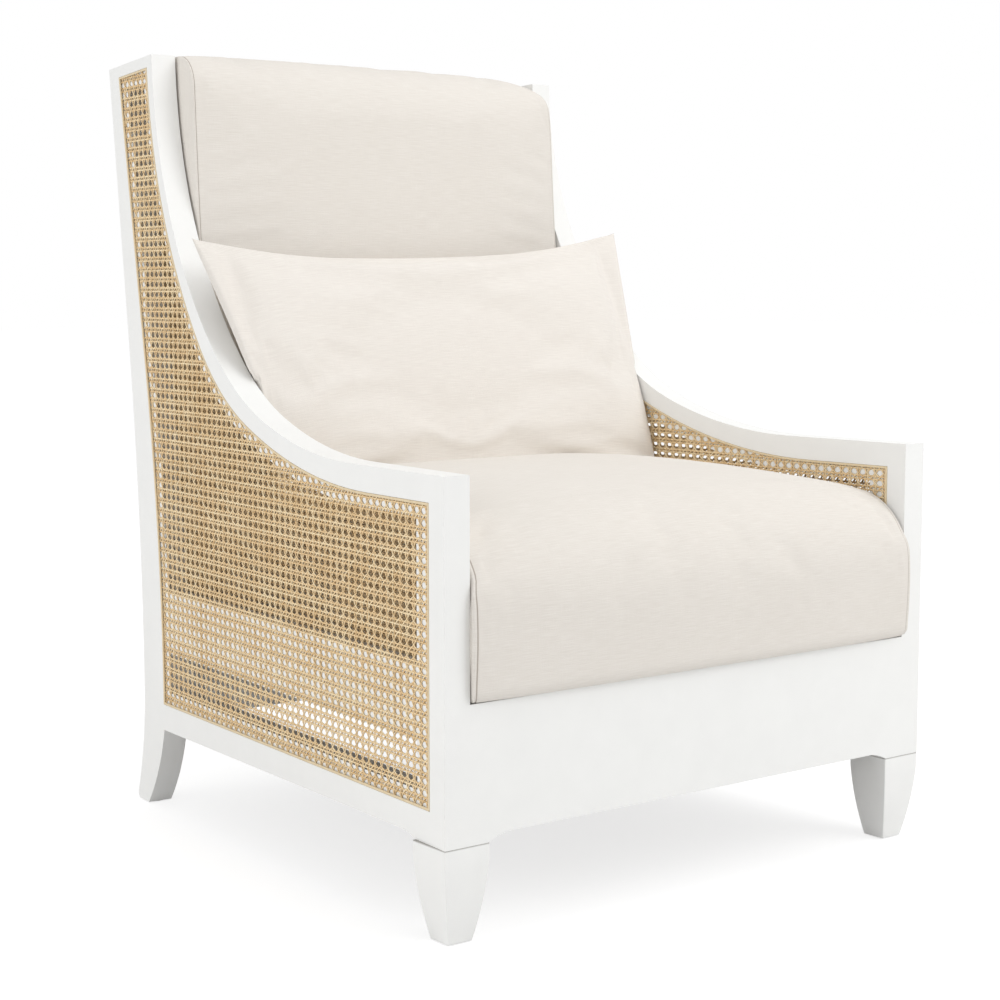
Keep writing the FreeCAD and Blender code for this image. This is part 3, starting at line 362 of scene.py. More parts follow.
def strands(line, heights, half_width, outline, chance):
    """Strands along the lines of an array [strand, sample, (along, up)], each a little off its line
    and of its own width. A section is a low triangle, flat behind, at its sample's height; what lies
    outside the outline is left out and the cut ends are closed. Gives places (towards the viewer,
    along, up), quads, end triangles and cloth coordinates."""
    count, samples = line.shape[:2]
    step = np.gradient(line, axis=1)
    step /= np.linalg.norm(step, axis=-1, keepdims=True)
    across = np.stack([-step[..., 1], step[..., 0]], axis=-1)
    run = np.cumsum(np.full((count, samples), PITCH_UP / MARKS), axis=1)
    stray = chance.normal(0, HAND_SHIFT, (count, 1))
    stray = stray + 0.7 * HAND_SHIFT * np.sin(run / SHIFT_RUN + chance.uniform(0, 6.3, (count, 1)))
    middle = line + across * stray[..., None]
    half = half_width * (1 + chance.normal(0, HAND_WIDTH, (count, 1))
                         + HAND_WIDTH * np.sin(run / WIDTH_RUN + stray * 9e4))
    low, high = heights - STRAND_THICK / 2, heights + STRAND_THICK / 2
    left, right = middle - across * half[..., None], middle + across * half[..., None]
    ring = np.stack([np.concatenate([low[..., None], left], axis=-1),
                     np.concatenate([high[..., None], middle], axis=-1),
                     np.concatenate([low[..., None], right], axis=-1)], axis=2)
    kept = within((middle[:, 1:] + middle[:, :-1]) / 2, outline, UNDER_SPLINE)
    number = np.arange(count * samples * 3).reshape(count, samples, 3)
    near, far = number[:, :-1][kept], number[:, 1:][kept]
    quads = np.concatenate([np.stack([near[:, i], near[:, j], far[:, j], far[:, i]], axis=1)
                            for i, j in ((0, 1), (1, 2), (2, 0))])
    edge = np.zeros((count, 1), bool)
    starts = kept & ~np.concatenate([edge, kept[:, :-1]], axis=1)
    ends = kept & ~np.concatenate([kept[:, 1:], edge], axis=1)
    caps = np.concatenate([number[:, :-1][starts][:, ::-1], number[:, 1:][ends]])
    tone = np.broadcast_to(chance.uniform(0, 1, (count, 1, 1)), (count, samples, 3))
    cloth = np.stack([np.broadcast_to(run[..., None], tone.shape),
                      np.broadcast_to(np.array([-1.0, 0.0, 1.0]), tone.shape), tone * OWN_TONE], axis=-1)
    return ring.reshape(-1, 3), quads, caps, cloth.reshape(-1, 3)


def weave(outline, chance):
    """The three layers of a panel. With p the pitch, the upright and level pairs run p/2 from the
    holes' middles, each strand over one and under the other of the pair that it crosses; the diagonals
    run where along -/+ up is an odd multiple of p/2, one way over the uprights and under the levels
    and the other way the reverse."""
    pitches = np.array([PITCH_ALONG, PITCH_UP])
    low = HOLE_PLACE + (np.floor((outline.min(axis=0) - HOLE_PLACE) / pitches) - 1) * pitches
    across_count, up_count = (np.ceil((outline.max(axis=0) - low) / pitches) + 1).astype(int)

    def samples(count, pitch, apart):
        near = 0.5 - apart / pitch
        out = near - WAVE_RUN / pitch
        marks = np.array([0.0, out, near, 0.5, 1 - near, 1 - out])
        return ((np.arange(count)[:, None] + marks) * pitch).ravel()

    layers = {}
    ups = samples(up_count, PITCH_UP, LEVEL_APART) + low[1]
    alongs = samples(across_count, PITCH_ALONG, UPRIGHT_APART) + low[0]
    for name, count, pitch, apart, half, start, runs, flip in (
            ("uprights", across_count, PITCH_ALONG, UPRIGHT_APART, UPRIGHT_HALF, low[0], ups, False),
            ("levels", up_count, PITCH_UP, LEVEL_APART, LEVEL_HALF, low[1], alongs, True)):
        pair = np.tile([-1.0, 1.0], count)
        place = start + (np.repeat(np.arange(count), 2) + 0.5) * pitch + pair * apart
        grid = np.stack(np.broadcast_arrays(place[:, None], runs[None]), axis=-1)
        heights = pair[:, None] * np.tile(PAIR_WAVE, len(runs) // MARKS) * (-1 if flip else 1)
        layers[name] = strands(grid[..., ::-1] if flip else grid, heights, half, outline, chance)
    slants = []
    marks = np.arange(across_count * MARKS + 1) / MARKS
    for lean, first, last in ((1, -across_count, up_count + 1), (-1, 0, up_count + across_count + 1)):
        number = np.arange(first, last) + 0.5
        up = (number[:, None] + lean * marks) * PITCH_UP + low[1]
        along = np.broadcast_to(marks * PITCH_ALONG + low[0], up.shape)
        heights = np.broadcast_to(lean * np.resize(DIAGONAL_WAVE, len(marks)), up.shape)
        slants.append(strands(np.stack([along, up], axis=-1), heights, DIAGONAL_HALF, outline, chance))
    shift = len(slants[0][0])
    layers["diagonals"] = tuple(np.concatenate([a, b + shift * (i in (1, 2))])
                                for i, (a, b) in enumerate(zip(*slants)))
    return layers


def mesh_from(name, points, quads, triangles, cloth):
    """A smooth-shaded mesh put in as whole arrays, with its cloth coordinates and no unused points."""
    corners = np.concatenate([quads.ravel(), triangles.ravel()])
    used = np.zeros(len(points), bool)
    used[corners] = True
    corners = (np.cumsum(used) - 1)[corners]
    mesh = bpy.data.meshes.new(name)
    mesh.vertices.add(int(used.sum()))
    mesh.vertices.foreach_set("co", points[used].astype(np.float32).ravel())
    mesh.loops.add(len(corners))
    mesh.loops.foreach_set("vertex_index", corners.astype(np.int32))
    mesh.polygons.add(len(quads) + len(triangles))
    starts = np.concatenate([np.arange(len(quads)) * 4, quads.size + np.arange(len(triangles)) * 3])
    mesh.polygons.foreach_set("loop_start", starts.astype(np.int32))
    mesh.update(calc_edges=True)
    mesh.validate()
    mesh.attributes.new("cloth", "FLOAT_VECTOR", "POINT").data.foreach_set(
        "vector", cloth[used].astype(np.float32).ravel())
    mesh.shade_smooth()
    return mesh


def natural_cane():
    """Split rattan bark: straw yellow, each strand of its own tone, with fibres along it, darker
    nodes here and there and a dull gloss."""
    material, tree = new_finish("natural_cane")
    cloth = put(tree, "ShaderNodeAttribute", attribute_name="cloth").outputs["Vector"]
    strand = put(tree, "ShaderNodeSeparateXYZ", {0: cloth}).outputs["Z"]
    fibres = noise(tree, scaled(tree, cloth, (90, 2.6, 1)), 3.0, 1.0, 0.65)
    patches = noise(tree, scaled(tree, cloth, (28, 0.1, 1)), 2.0, 1.0)
    own = maths(tree, "MULTIPLY_ADD", strand, 0.0125, maths(tree, "MULTIPLY", patches, 0.7))
    tones = put(tree, "ShaderNodeValToRGB", {0: maths(tree, "MULTIPLY_ADD", fibres, 0.35, own)})
    ramp = tones.color_ramp.elements
    ramp[0].position, ramp[0].color = 0.25, srgb(214, 179, 125)
    ramp[1].position, ramp[1].color = 1.1, srgb(252, 231, 191)
    ramp.new(0.72).color = srgb(242, 211, 163)
    return finished(material, tones.outputs[0], fibres, 0.3, 0.0002, {"Roughness": 0.55})


cane_finish = natural_cane()
chance = np.random.default_rng(7)
for face, sheet, toward, spline_face in (("outer", OUTER_SHEET, -1, -SPLINE_PROUD),
                                         ("inner", INNER_SHEET, 1, SIDE_THICK + SPLINE_PROUD)):
    outline = ring_outline(cad[f"left_{face}_spline"], spline_face)
    for layer, (ring, quads, caps, cloth) in weave(outline, chance).items():
        ring = ring * [toward, 1, 1] + [sheet, 0, 0]
        for side, mirror in (("left", 1), ("right", -1)):
            name, way = f"{side}_{face}_cane_{layer}", -toward * mirror
            piece = linked(name, mesh_from(name, from_side(ring) * [mirror, 1, 1],
                                           quads[:, ::way], caps[:, ::way], cloth))
            finish_with(piece, cane_finish)
            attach(piece, "frame")
            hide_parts(f"{side}_{face}_cane")


# Reed splines. A strip of round-cornered reed, glued into the groove over the cut ends of the
# cane, runs round each panel and stands a little out of the frame.
SPLINE_EASED_EDGE = 0.0009


def reed():
    """Reed: the cane's colour, a shade deeper, with soft patches and fine fibres."""
    material, tree = new_finish("reed")
    patches = noise(tree, stretched(tree, (22, 22, 22)), 4.0)
    fibres = noise(tree, stretched(tree, (700, 700, 700)), 2.0)
    tone = toned(tree, patches, srgb(214, 192, 152), srgb(236, 219, 186))
    return finished(material, tone, fibres, 0.25, 0.0002, {"Roughness": 0.5})


reed_finish = reed()
for side in ("left", "right"):
    for face in ("outer", "inner"):
        corners, faces = whole_faces(cad[f"{side}_{face}_spline"].data)
        strip = eased(shell_of(f"{side}_{face}_reed", corners, faces), SPLINE_EASED_EDGE, 2)
        finish_with(strip, reed_finish)
        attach(strip, "frame")
        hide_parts(f"{side}_{face}_spline")


# Seat deck and back frame. Plain sawn bars with corner blocks, elastic straps, a felt pad and a
# cloth cover beneath, none of which the photograph shows. Each keeps its CAD mesh.
def plain_wood():
    """Sawn light wood: long grain as stretched noise, planed and unfinished."""
    material, tree = new_finish("plain_wood")
    grain = noise(tree, stretched(tree, (8, 160, 160)), 6.0)
    tone = toned(tree, grain, srgb(176, 137, 92), srgb(222, 190, 146))
    return finished(material, tone, grain, 0.3, 0.0005, {"Roughness": 0.7})


def plain_cloth(name, dark, light, thread):
    """A plain-woven cloth on a hidden piece: two crossed waves of one thread's width, and a little
    cloud of tone."""
    material, tree = new_finish(name)
    cloud = noise(tree, stretched(tree, (30, 30, 30)), 3.0)
    waves = [put(tree, "ShaderNodeTexWave", {"Vector": stretched(tree, (1, 1, 1)), "Scale": 0.314 / thread},
                 bands_direction=axis).outputs["Fac"] for axis in ("X", "Z")]
    return finished(material, toned(tree, cloud, dark, light), maths(tree, "MULTIPLY", *waves), 0.5,
                    thread / 4, {"Roughness": 0.9})


hidden_wood = plain_wood()
for bar in ("left_deck_bar", "right_deck_bar", "deck_front_bar", "deck_rear_bar", "corner_blocks",
            "left_back_upright", "right_back_upright", "back_top_bar", "back_bottom_bar"):
    finish_with(cad[bar], hidden_wood)
webbing = plain_cloth("elastic_webbing", srgb(60, 56, 52), srgb(84, 79, 73), 0.0016)
for straps in ("deck_long_straps", "deck_cross_straps", "back_long_straps", "back_cross_straps"):
    finish_with(cad[straps], webbing)
finish_with(cad["deck_pad"], plain_cloth("felt", srgb(196, 192, 184), srgb(222, 219, 212), 0.0009))
finish_with(cad["dust_cover"], plain_cloth("lining", srgb(84, 71, 56), srgb(108, 93, 74), 0.001))


# Leg bolts and glides. Zinc-plated hanger bolts join the front legs to the posts, and a nylon
# disc is nailed under each foot. Each keeps its CAD mesh.
def small_part(name, colour, metallic, roughness):
    """A turned or moulded small part with faint scuffs."""
    material, tree = new_finish(name)
    scuffs = noise(tree, stretched(tree, (400, 400, 400)), 4.0)
    worn = ranged(tree, scuffs, to_low=roughness - 0.08, to_high=roughness + 0.1)
    feed(tree, tree.nodes["Principled BSDF"], {"Base Color": colour, "Metallic": metallic, "Roughness": worn})
    return material


finish_with(cad["leg_bolts"], small_part("zinc_steel", srgb(190, 192, 196), 1.0, 0.35))
finish_with(cad["glides"], small_part("nylon", srgb(214, 210, 202), 0.0, 0.5))


# Back cushion. Fibre and foam over the back frame, in a linen-look cover whose front panel meets
# boxed sides in a seam just in from each side; its upper edge rolls over to the outside back.
SEAM_DEEP = 0.0009  # how far the stitching draws the cover in
CLOSER = 0.86  # how much closer a cover's rows stand towards its seams, up to 1
BACK_SEAM_IN = 0.0035  # from each side in to the front panel's seam
BACK_GAP = 0.0035  # kept from the side frames
BACK_LOW, BACK_HIGH = 0.2735, 1.0225
BOARD_HIGH = 1.001  # where the outside board ends and the cover rolls over
BOARD_IN, ROLL_IN = 0.0358, 0.002  # how far each lies in from the stiles' rear edge
BACK_DEPTH, BACK_DEEPER = 0.157, 0.029  # from the stiles' rear edge at the foot, and more at the top
BACK_CROWN, BACK_FULLNESS = 0.016, 2.4
BACK_FILL = 0.75  # the simulation adds the rest
STILE_RADIUS, STILE_TURN = 3.7, math.radians(7.49)  # of the arc of the stiles' rear edge
WAIST_BEHIND, WAIST_UP = 0.775, 0.165  # where it bends in most, from the posts' fronts and up
COVER_ROWS = 64  # of points across a cover's main panel
FADE = 0.012  # from a seam in to where the cover may swell freely
FILL_FRAMES = 20


def rounded_loop(corners, radii, count):
    """A closed line with rounded corners as count even steps, and its outward normals. Each corner is
    cut back by radius times the tangent of half its turn, joined by an arc, and the whole is then
    read off by its length."""
    corners, pieces = np.array(corners, float), []
    before, after = np.roll(corners, 1, axis=0), np.roll(corners, -1, axis=0)
    for last, corner, following, radius in zip(before, corners, after, radii):
        way_in, way_out = corner - last, following - corner
        way_in, way_out = way_in / np.linalg.norm(way_in), way_out / np.linalg.norm(way_out)
        turn = math.atan2(way_in[0] * way_out[1] - way_in[1] * way_out[0], way_in @ way_out)
        cut = radius * abs(math.tan(turn / 2))
        inward = np.array([-way_in[1], way_in[0]]) * np.sign(turn)
        centre = corner - way_in * cut + inward * radius
        angles = np.linspace(0, turn, 14)[:, None]
        spoke = -inward * radius
        pieces.append(centre + spoke * np.cos(angles) + np.array([-spoke[1], spoke[0]]) * np.sin(angles))
    line = np.concatenate(pieces + [pieces[0][:1]])
    length = np.concatenate([[0], np.cumsum(np.linalg.norm(np.diff(line, axis=0), axis=1))])
    marks = np.linspace(0, length[-1], count, endpoint=False)
    even = np.stack([np.interp(marks, length, line[:, axis]) for axis in (0, 1)], axis=1)
    step = np.roll(even, -1, axis=0) - np.roll(even, 1, axis=0)
    step /= np.linalg.norm(step, axis=1, keepdims=True)
    return even, np.stack([step[:, 1], -step[:, 0]], axis=1), marks


def boxed_cover(name, loop, normals, marks, half_at, crowns, seam_in, dome, fullness, shoulder):
    """A boxed cover round a closed side profile. The main panel carries the profile across, standing
    out by crown * (1 - |share|^fullness)^shoulder; at each end a stitched seam dips in, then a side
    panel turns the corner in a quarter round and closes over a low dome towards the profile's middle."""
    centre, half = loop.mean(axis=0), half_at(loop)
    share = np.sin(np.linspace(-1, 1, COVER_ROWS) * math.pi / 2 * CLOSER) / math.sin(math.pi / 2 * CLOSER)
    rings, cloths = [], []
    for s in share:
        place = loop + normals * (crowns * max(1 - abs(s) ** fullness, 0) ** shoulder)[:, None]
        rings.append(np.column_stack([s * (half - seam_in), place]))
        cloths.append(np.column_stack([s * (half - seam_in), marks, np.zeros(len(marks))]))
    turn = [(SEAM_DEEP, seam_in * 0.3), (SEAM_DEEP / 6, seam_in * 0.5)]
    turn += [(seam_in * (1 - math.cos(a)), seam_in * (0.5 + 0.5 * math.sin(a)))
             for a in np.linspace(0.25, math.pi / 2, 6)]
    ends = [(loop - normals * sunk, out, out) for sunk, out in turn]
    last = ends[-1][0]
    ends += [(last + (centre - last) * closing, seam_in + dome * (1 - (1 - closing) ** 2),
              seam_in + 0.1 * closing) for closing in np.linspace(0.08, 1, 14)]
    for sign in (1, -1):
        new = [np.column_stack([sign * (half_at(place) - seam_in + out), place]) for place, out, _ in ends]
        new_cloths = [np.column_stack([sign * (half + reach), marks, np.ones(len(marks))])
                      for _, _, reach in ends]
        rings = rings + new if sign > 0 else new[::-1] + rings
        cloths = cloths + new_cloths if sign > 0 else new_cloths[::-1] + cloths
    return grid_piece(name, np.array(rings), np.array(cloths))


def grid_piece(name, rings, cloths):
    """A closed piece from an array [ring, around, 3]: quads between the rings, ends welded shut."""
    count, around = rings.shape[:2]
    number = np.arange(count * around).reshape(count, around)
    quads = np.stack([number[:-1], number[1:], np.roll(number[1:], -1, axis=1),
                      np.roll(number[:-1], -1, axis=1)], axis=-1).reshape(-1, 4)
    mesh = mesh_from(name, rings.reshape(-1, 3), quads, np.zeros((0, 3), int), cloths.reshape(-1, 3))
    shell = bmesh.new()
    shell.from_mesh(mesh)
    bmesh.ops.remove_doubles(shell, verts=shell.verts, dist=1e-6)
    bmesh.ops.recalc_face_normals(shell, faces=shell.faces)
    shell.to_mesh(mesh)
    shell.free()
    mesh.shade_smooth()
    return linked(name, mesh)


def points_of(piece):
    """A piece's points and their cloth coordinates, as arrays."""
    places, cloths = (np.empty(len(piece.data.vertices) * 3, np.float32) for _ in range(2))
    piece.data.vertices.foreach_get("co", places)
    piece.data.attributes["cloth"].data.foreach_get("vector", cloths)
    return places.reshape(-1, 3).astype(float), cloths.reshape(-1, 3).astype(float)


def place_points(piece, places):
    """Puts new places into a piece's mesh."""
    piece.data.vertices.foreach_set("co", places.astype(np.float32).ravel())
    piece.data.update()


def fill_out(piece, held, pressure, slack, cap, cut=None):
    """Swells a cover as its filling does: Blender's Cloth with pressure and no weight, its result kept.
    held is how fast each point stays, 1 where the cover is stitched or rests on something, slack the
    share by which the cloth is cut larger than its shape, cap the farthest that a point may go, and
    cut the flat shape of its panels."""
    grip = piece.vertex_groups.new(name="held")
    steps = np.round(held * 10).astype(int)
    for step in range(1, 11):
        grip.add(np.flatnonzero(steps == step).tolist(), step / 10, "REPLACE")
    before = np.empty(len(piece.data.vertices) * 3, np.float32)
    piece.data.vertices.foreach_get("co", before)
    filling = piece.modifiers.new("filling", "CLOTH")
    cloth = filling.settings
    if cut is not None:
        piece.shape_key_add(name="filled")
        flat = piece.shape_key_add(name="cut")
        flat.data.foreach_set("co", cut.astype(np.float32).ravel())
        cloth.rest_shape_key = flat
    cloth.vertex_group_mass = "held"
    cloth.use_pressure, cloth.uniform_pressure_force = True, pressure
    cloth.shrink_min = -slack
    cloth.effector_weights.gravity = 0
    cloth.air_damping = 2
    filling.point_cache.frame_end = FILL_FRAMES
    for step in range(FILL_FRAMES):
        bpy.context.scene.frame_set(step + 1)
    swollen = np.empty_like(before)
    filled = piece.evaluated_get(bpy.context.evaluated_depsgraph_get())
    filled.data.vertices.foreach_get("co", swollen)
    move = (swollen - before).reshape(-1, 3)
    far = np.linalg.norm(move, axis=1, keepdims=True)
    piece.modifiers.remove(filling)
    if cut is not None:
        piece.shape_key_clear()
    piece.vertex_groups.clear()
    bpy.context.scene.frame_set(1)
    return before.reshape(-1, 3) + move * np.minimum(1, cap / np.maximum(far, 1e-9))


LINEN_TONES = srgb(223, 217, 209), srgb(231, 226, 219)
# The painted shade in a boxed cover's seams, for the shadow in the seam's crease:
SEAM_SHADE_TONE = srgb(120, 98, 82)
THREAD = 0.0013  # from one thread to the next but one


def linen(name, dark, light, seam_shade):
    """Linen-look upholstery: a plain weave of uneven threads, with thicker slubs along the weft and a
    few along the warp, a matt surface and a little sheen from its loose fibres. In a boxed cover's
    seam, where the cloth's third coordinate passes from 0 to 1, a painted shade darkens it by up to
    seam_shade, for the shadow in the seam's crease."""
    material, tree = new_finish(name)
    cloth = put(tree, "ShaderNodeAttribute", attribute_name="cloth").outputs["Vector"]
    weft = noise(tree, scaled(tree, cloth, (38, 1350, 1)), 2.0, 1.0)
    warp = noise(tree, scaled(tree, cloth, (1400, 50, 1)), 2.0, 1.0)
    cloud = noise(tree, scaled(tree, cloth, (9, 9, 1)), 3.0, 1.0)
    slubs = maths(tree, "MULTIPLY_ADD", ranged(tree, warp, 0.45, 0.8), 0.4, ranged(tree, weft, 0.38, 0.72))
    share = ranged(tree, maths(tree, "MULTIPLY_ADD", cloud, 0.5, slubs), 0.1, 1.2)
    places = put(tree, "ShaderNodeSeparateXYZ", {0: cloth}).outputs
    square = maths(tree, "MULTIPLY", places["Z"], places["Z"])
    # painted shade in the seam, where the third cloth coordinate passes from 0 to 1
    seam_shade_share = ranged(tree, maths(tree, "SUBTRACT", places["Z"], square), 0.06, 0.24, to_high=seam_shade)
    tone = toned(tree, seam_shade_share, toned(tree, share, dark, light), SEAM_SHADE_TONE)
    threads = [maths(tree, "SINE", maths(tree, "MULTIPLY", places[axis], 2 * math.pi / THREAD))
               for axis in ("X", "Y")]
    height = maths(tree, "MULTIPLY_ADD", maths(tree, "MULTIPLY", *threads), 0.35, slubs)
    return finished(material, tone, height, 0.28, 0.0003, {
        "Roughness": 0.95, "Specular IOR Level": 0.15, "Sheen Weight": 0.12, "Sheen Roughness": 0.5})


def cushion_side(y):
    """Half the room between the side frames at a place behind the posts' fronts: it narrows by the
    tangent of the toe-in."""
    return -SIDE_CORNER[0] - SIDE_THICK / math.cos(TOE_IN) - (y - SIDE_CORNER[1]) * math.tan(TOE_IN)


def back_line(forward, heights):
    """A copy of the stile's rear edge moved forwards: an arc with its waist where the edge bends in
    most, and a straight line above the arc's turn."""
    radius, waist = STILE_RADIUS + forward, SIDE_CORNER[1] + WAIST_BEHIND
    lift = np.asarray(heights) - WAIST_UP
    arc = waist - forward + radius - np.sqrt(np.maximum(radius ** 2 - lift ** 2, 0))
    end = radius * math.sin(STILE_TURN)
    straight = waist - forward + radius * (1 - math.cos(STILE_TURN)) + (lift - end) * math.tan(STILE_TURN)
    return np.where(lift < end, arc, straight)


def back_depth(heights):
    """From the stile's rear edge to the cushion's front corners: from a tenth of the height up it
    deepens with the square of the share climbed."""
    climbed = np.clip(((np.asarray(heights) - BACK_LOW) / (BACK_HIGH - BACK_LOW) - 0.1) / 0.9, 0, 1)
    return BACK_DEPTH + BACK_DEEPER * climbed ** 2


def back_crown(heights):
    """How far the middle of the front stands out: least at the lower and upper edges."""
    climbed = np.clip((np.asarray(heights) - BACK_LOW) / (BACK_HIGH - BACK_LOW), 0, 1)
    return BACK_CROWN * (0.45 + 2.2 * climbed * (1 - climbed))


def soft_corner(places):
    """The far upper corner has sunk a little: there the height falls by up to 15 mm and the width by
    up to 8 mm, with the square of the share of the top 90 mm, of the outer half and of the front."""
    high = np.clip((places[:, 2] - BACK_HIGH + 0.09) / 0.09, 0, 1) ** 2
    outer = np.clip((places[:, 0] - 0.17) / 0.14, 0, 1) ** 2
    front = np.clip((back_line(0.07, places[:, 2]) - places[:, 1]) / 0.08, 0, 1)
    sunk = high * outer * front
    return places - np.stack([0.008 * sunk, 0 * high, 0.015 * sunk * outer], axis=-1)


front_heights = np.linspace(BACK_HIGH, BACK_LOW, 11)
rear_heights = np.linspace(BACK_LOW, BOARD_HIGH, 7)
back_corners = np.concatenate([
    np.column_stack([back_line(back_depth(front_heights), front_heights), front_heights]),
    np.column_stack([back_line(BOARD_IN, rear_heights), rear_heights]),
    [[float(back_line(ROLL_IN, height)), height] for height in (BOARD_HIGH, BACK_HIGH)]])
back_radii = [0.044] + [0.5] * 9 + [0.012, 0.006] + [0.5] * 5 + [0.0015, 0.0015, 0.012]
loop, normals, marks = rounded_loop(back_corners, back_radii, 240)
facing = np.clip(-normals[:, 0], 0, 1) ** 2
back_cover = boxed_cover(
    "back_cover", loop, normals, marks, half_at=lambda place: cushion_side(place[:, 0]) - BACK_GAP,
    crowns=BACK_FILL * facing * back_crown(loop[:, 1]) + 0.003 * np.clip(normals[:, 1], 0, 1),
    seam_in=BACK_SEAM_IN, dome=0.001, fullness=BACK_FULLNESS, shoulder=1)
places, cloths = points_of(back_cover)
seam = cushion_side(places[:, 1]) - BACK_GAP - BACK_SEAM_IN - abs(places[:, 0])
front = places[:, 1] < back_line(0.09, places[:, 2])
held = np.where(front & (cloths[:, 2] < 0.5), np.clip(1 - seam / FADE, 0, 1), 1)
places = fill_out(back_cover, held, pressure=2, slack=0.004, cap=0.012)
place_points(back_cover, soft_corner(places))
cover = linen("linen", *LINEN_TONES, 0.6)
finish_with(back_cover, cover)
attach(back_cover, "frame")
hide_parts("back_cushion")


# Outside back. Board covered in the same cloth, stapled into the back frame between the two
# stiles. It keeps its CAD mesh.
def linen_board():
    """The same linen on the flat outside back, its threads set by the piece's own axes."""
    material, tree = new_finish("linen_board")
    slubs = noise(tree, stretched(tree, (70, 70, 900)), 2.0, 1.0)
    both = maths(tree, "ADD", slubs, noise(tree, stretched(tree, (1000, 1000, 80)), 2.0, 1.0))
    tone = toned(tree, ranged(tree, both, 0.7, 1.35), *LINEN_TONES)
    return finished(material, tone, both, 0.28, 0.0003, {"Roughness": 0.95, "Sheen Weight": 0.12})


finish_with(cad["back_panel"], linen_board())


# Seat cushion. A foam core wrapped in fibre, in a loose cover: one panel runs over the top, down
# the waterfall front and back underneath, and boxed sides are stitched to its two edges.
SEAT_SEAM_IN = 0.007
SEAT_LOW, SEAT_SEAM = 0.2695, 0.450
SEAT_FRONT, SEAT_REAR = SIDE_CORNER[1] - 0.011, SIDE_CORNER[1] + 0.595
SEAT_CROWN, SEAT_FULLNESS, SEAT_SHOULDER = 0.026, 4, 0.75
SEAT_GAP = 0.0015  # kept from the side frames
SEAT_ARCH = 0.012  # how far its side seams rise at half the depth
SEAT_FILL = 0.75
SEAT_BULGE = 0.005  # how far its sides swell out again in front of the posts


def seat_half(y):
    """Half the cushion's width: clear of the side frames, and swollen a little in front of them."""
    ahead = np.clip((SIDE_CORNER[1] - y) / 0.009, 0, 1)
    return cushion_side(np.maximum(y, SIDE_CORNER[1])) - SEAT_GAP + SEAT_BULGE * ahead ** 2 * (3 - 2 * ahead)


def seat_depth(y):
    """The share of the cushion's depth, 0 in front and 1 behind."""
    return np.clip((y - SEAT_FRONT) / (SEAT_REAR - SEAT_FRONT), 0, 1)


def seat_crown(y):
    """The height of the top's middle over its side seams: fullest at half the depth."""
    return SEAT_CROWN * (0.4 + 2.4 * seat_depth(y) * (1 - seat_depth(y)))


def seat_arch(y):
    """How far the side seams rise at a place: 4 * arch * depth * (1 - depth)."""
    return 4 * SEAT_ARCH * seat_depth(y) * (1 - seat_depth(y))


def seat_top(x, y):
    """The height of the cushion's top at a place: its arched seam's, and over it the crown times
    (1 - share^fullness)^shoulder."""
    share = np.clip(abs(x) / (seat_half(y) - SEAT_SEAM_IN), 0, 1)
    return SEAT_SEAM + seat_arch(y) + seat_crown(y) * (1 - share ** SEAT_FULLNESS) ** SEAT_SHOULDER


seat_corners = [[SEAT_FRONT + 0.003, SEAT_SEAM], [SEAT_FRONT - 0.001, 0.335], [SEAT_FRONT + 0.003, SEAT_LOW],
                [SEAT_REAR, SEAT_LOW], [SEAT_REAR, SEAT_SEAM]]
loop, normals, marks = rounded_loop(seat_corners, [0.082, 0.5, 0.012, 0.010, 0.02], 230)
loop[:, 1] += seat_arch(loop[:, 0]) * np.clip((loop[:, 1] - 0.36) / 0.09, 0, 1)
upward = np.clip(normals[:, 1], 0, 1) ** 0.7
forward = np.clip(-normals[:, 0], 0, 1)
seat_cover = boxed_cover(
    "seat_cover", loop, normals, marks, half_at=lambda place: seat_half(place[:, 0]),
    crowns=upward * seat_crown(loop[:, 0]) * SEAT_FILL + forward * 0.005,
    seam_in=SEAT_SEAM_IN, dome=0.0005, fullness=SEAT_FULLNESS, shoulder=SEAT_SHOULDER)
places, cloths = points_of(seat_cover)
seam = seat_half(places[:, 1]) - SEAT_SEAM_IN - abs(places[:, 0])
above = places[:, 2] > SEAT_LOW + 0.02 + 0.1 * seat_depth(places[:, 1])
held = np.where(above & (cloths[:, 2] < 0.5), np.clip(1 - seam / FADE, 0, 1), 1)
held = np.maximum(held, np.clip(1 - (places[:, 2] - SEAT_LOW) / 0.12, 0, 1) * 0.8)
places = fill_out(seat_cover, held, pressure=2.5, slack=0.004, cap=0.012)
places[:, 1] = np.maximum(places[:, 1], SEAT_FRONT - 0.008)
place_points(seat_cover, places)
finish_with(seat_cover, cover)
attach(seat_cover, "seat_cushion")
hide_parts("seat_cushion", "seat_foam")


# Lumbar pillow. Two panels sewn together edge to edge and filled with fibre. It stands on the
# seat, leans on the back, and its ears reach over the arms.
PILLOW_HALF = 0.068  # half its thickness at the middle
PILLOW_LOW_HALF = 0.315  # half its length along the lower edge
PILLOW_EARS = 0.045  # how far the upper corners spread beyond that
PILLOW_TOP, PILLOW_DIP = 0.786, 0.038  # of the ears, and how far the edge sinks between them
PILLOW_REACH = 0.440  # of the lower corners, behind the posts' fronts
PILLOW_BOW = 0.046  # how much further back its middle stands than its ends
PILLOW_LEAN = 0.43  # backwards for each metre up
PILLOW_CUT = 0.006, 0.182  # how much longer half a panel is laid flat, and half its height
PILLOW_GRID = 120, 66  # points along and up
PRESSED = 0.0008  # clearance kept where the pillow rests on the cushions
SWEEP_FOOT = 0.605  # the height at which the arms begin to climb away
SWEEP_HEIGHTS = 0.60, 0.64, 0.68, 0.72, 0.76, 0.80
SWEEP_BEHIND = 0.498, 0.545, 0.583, 0.613, 0.639, 0.660  # their face behind the posts' fronts there


def back_face(x, z):
    """Where the front of the back cushion stands at a place across and up."""
    corner = back_line(back_depth(z), z)
    share = np.clip(abs(x) / (cushion_side(corner) - BACK_GAP - BACK_SEAM_IN), 0, 1)
    return corner - back_crown(z) * (1 - share ** BACK_FULLNESS)


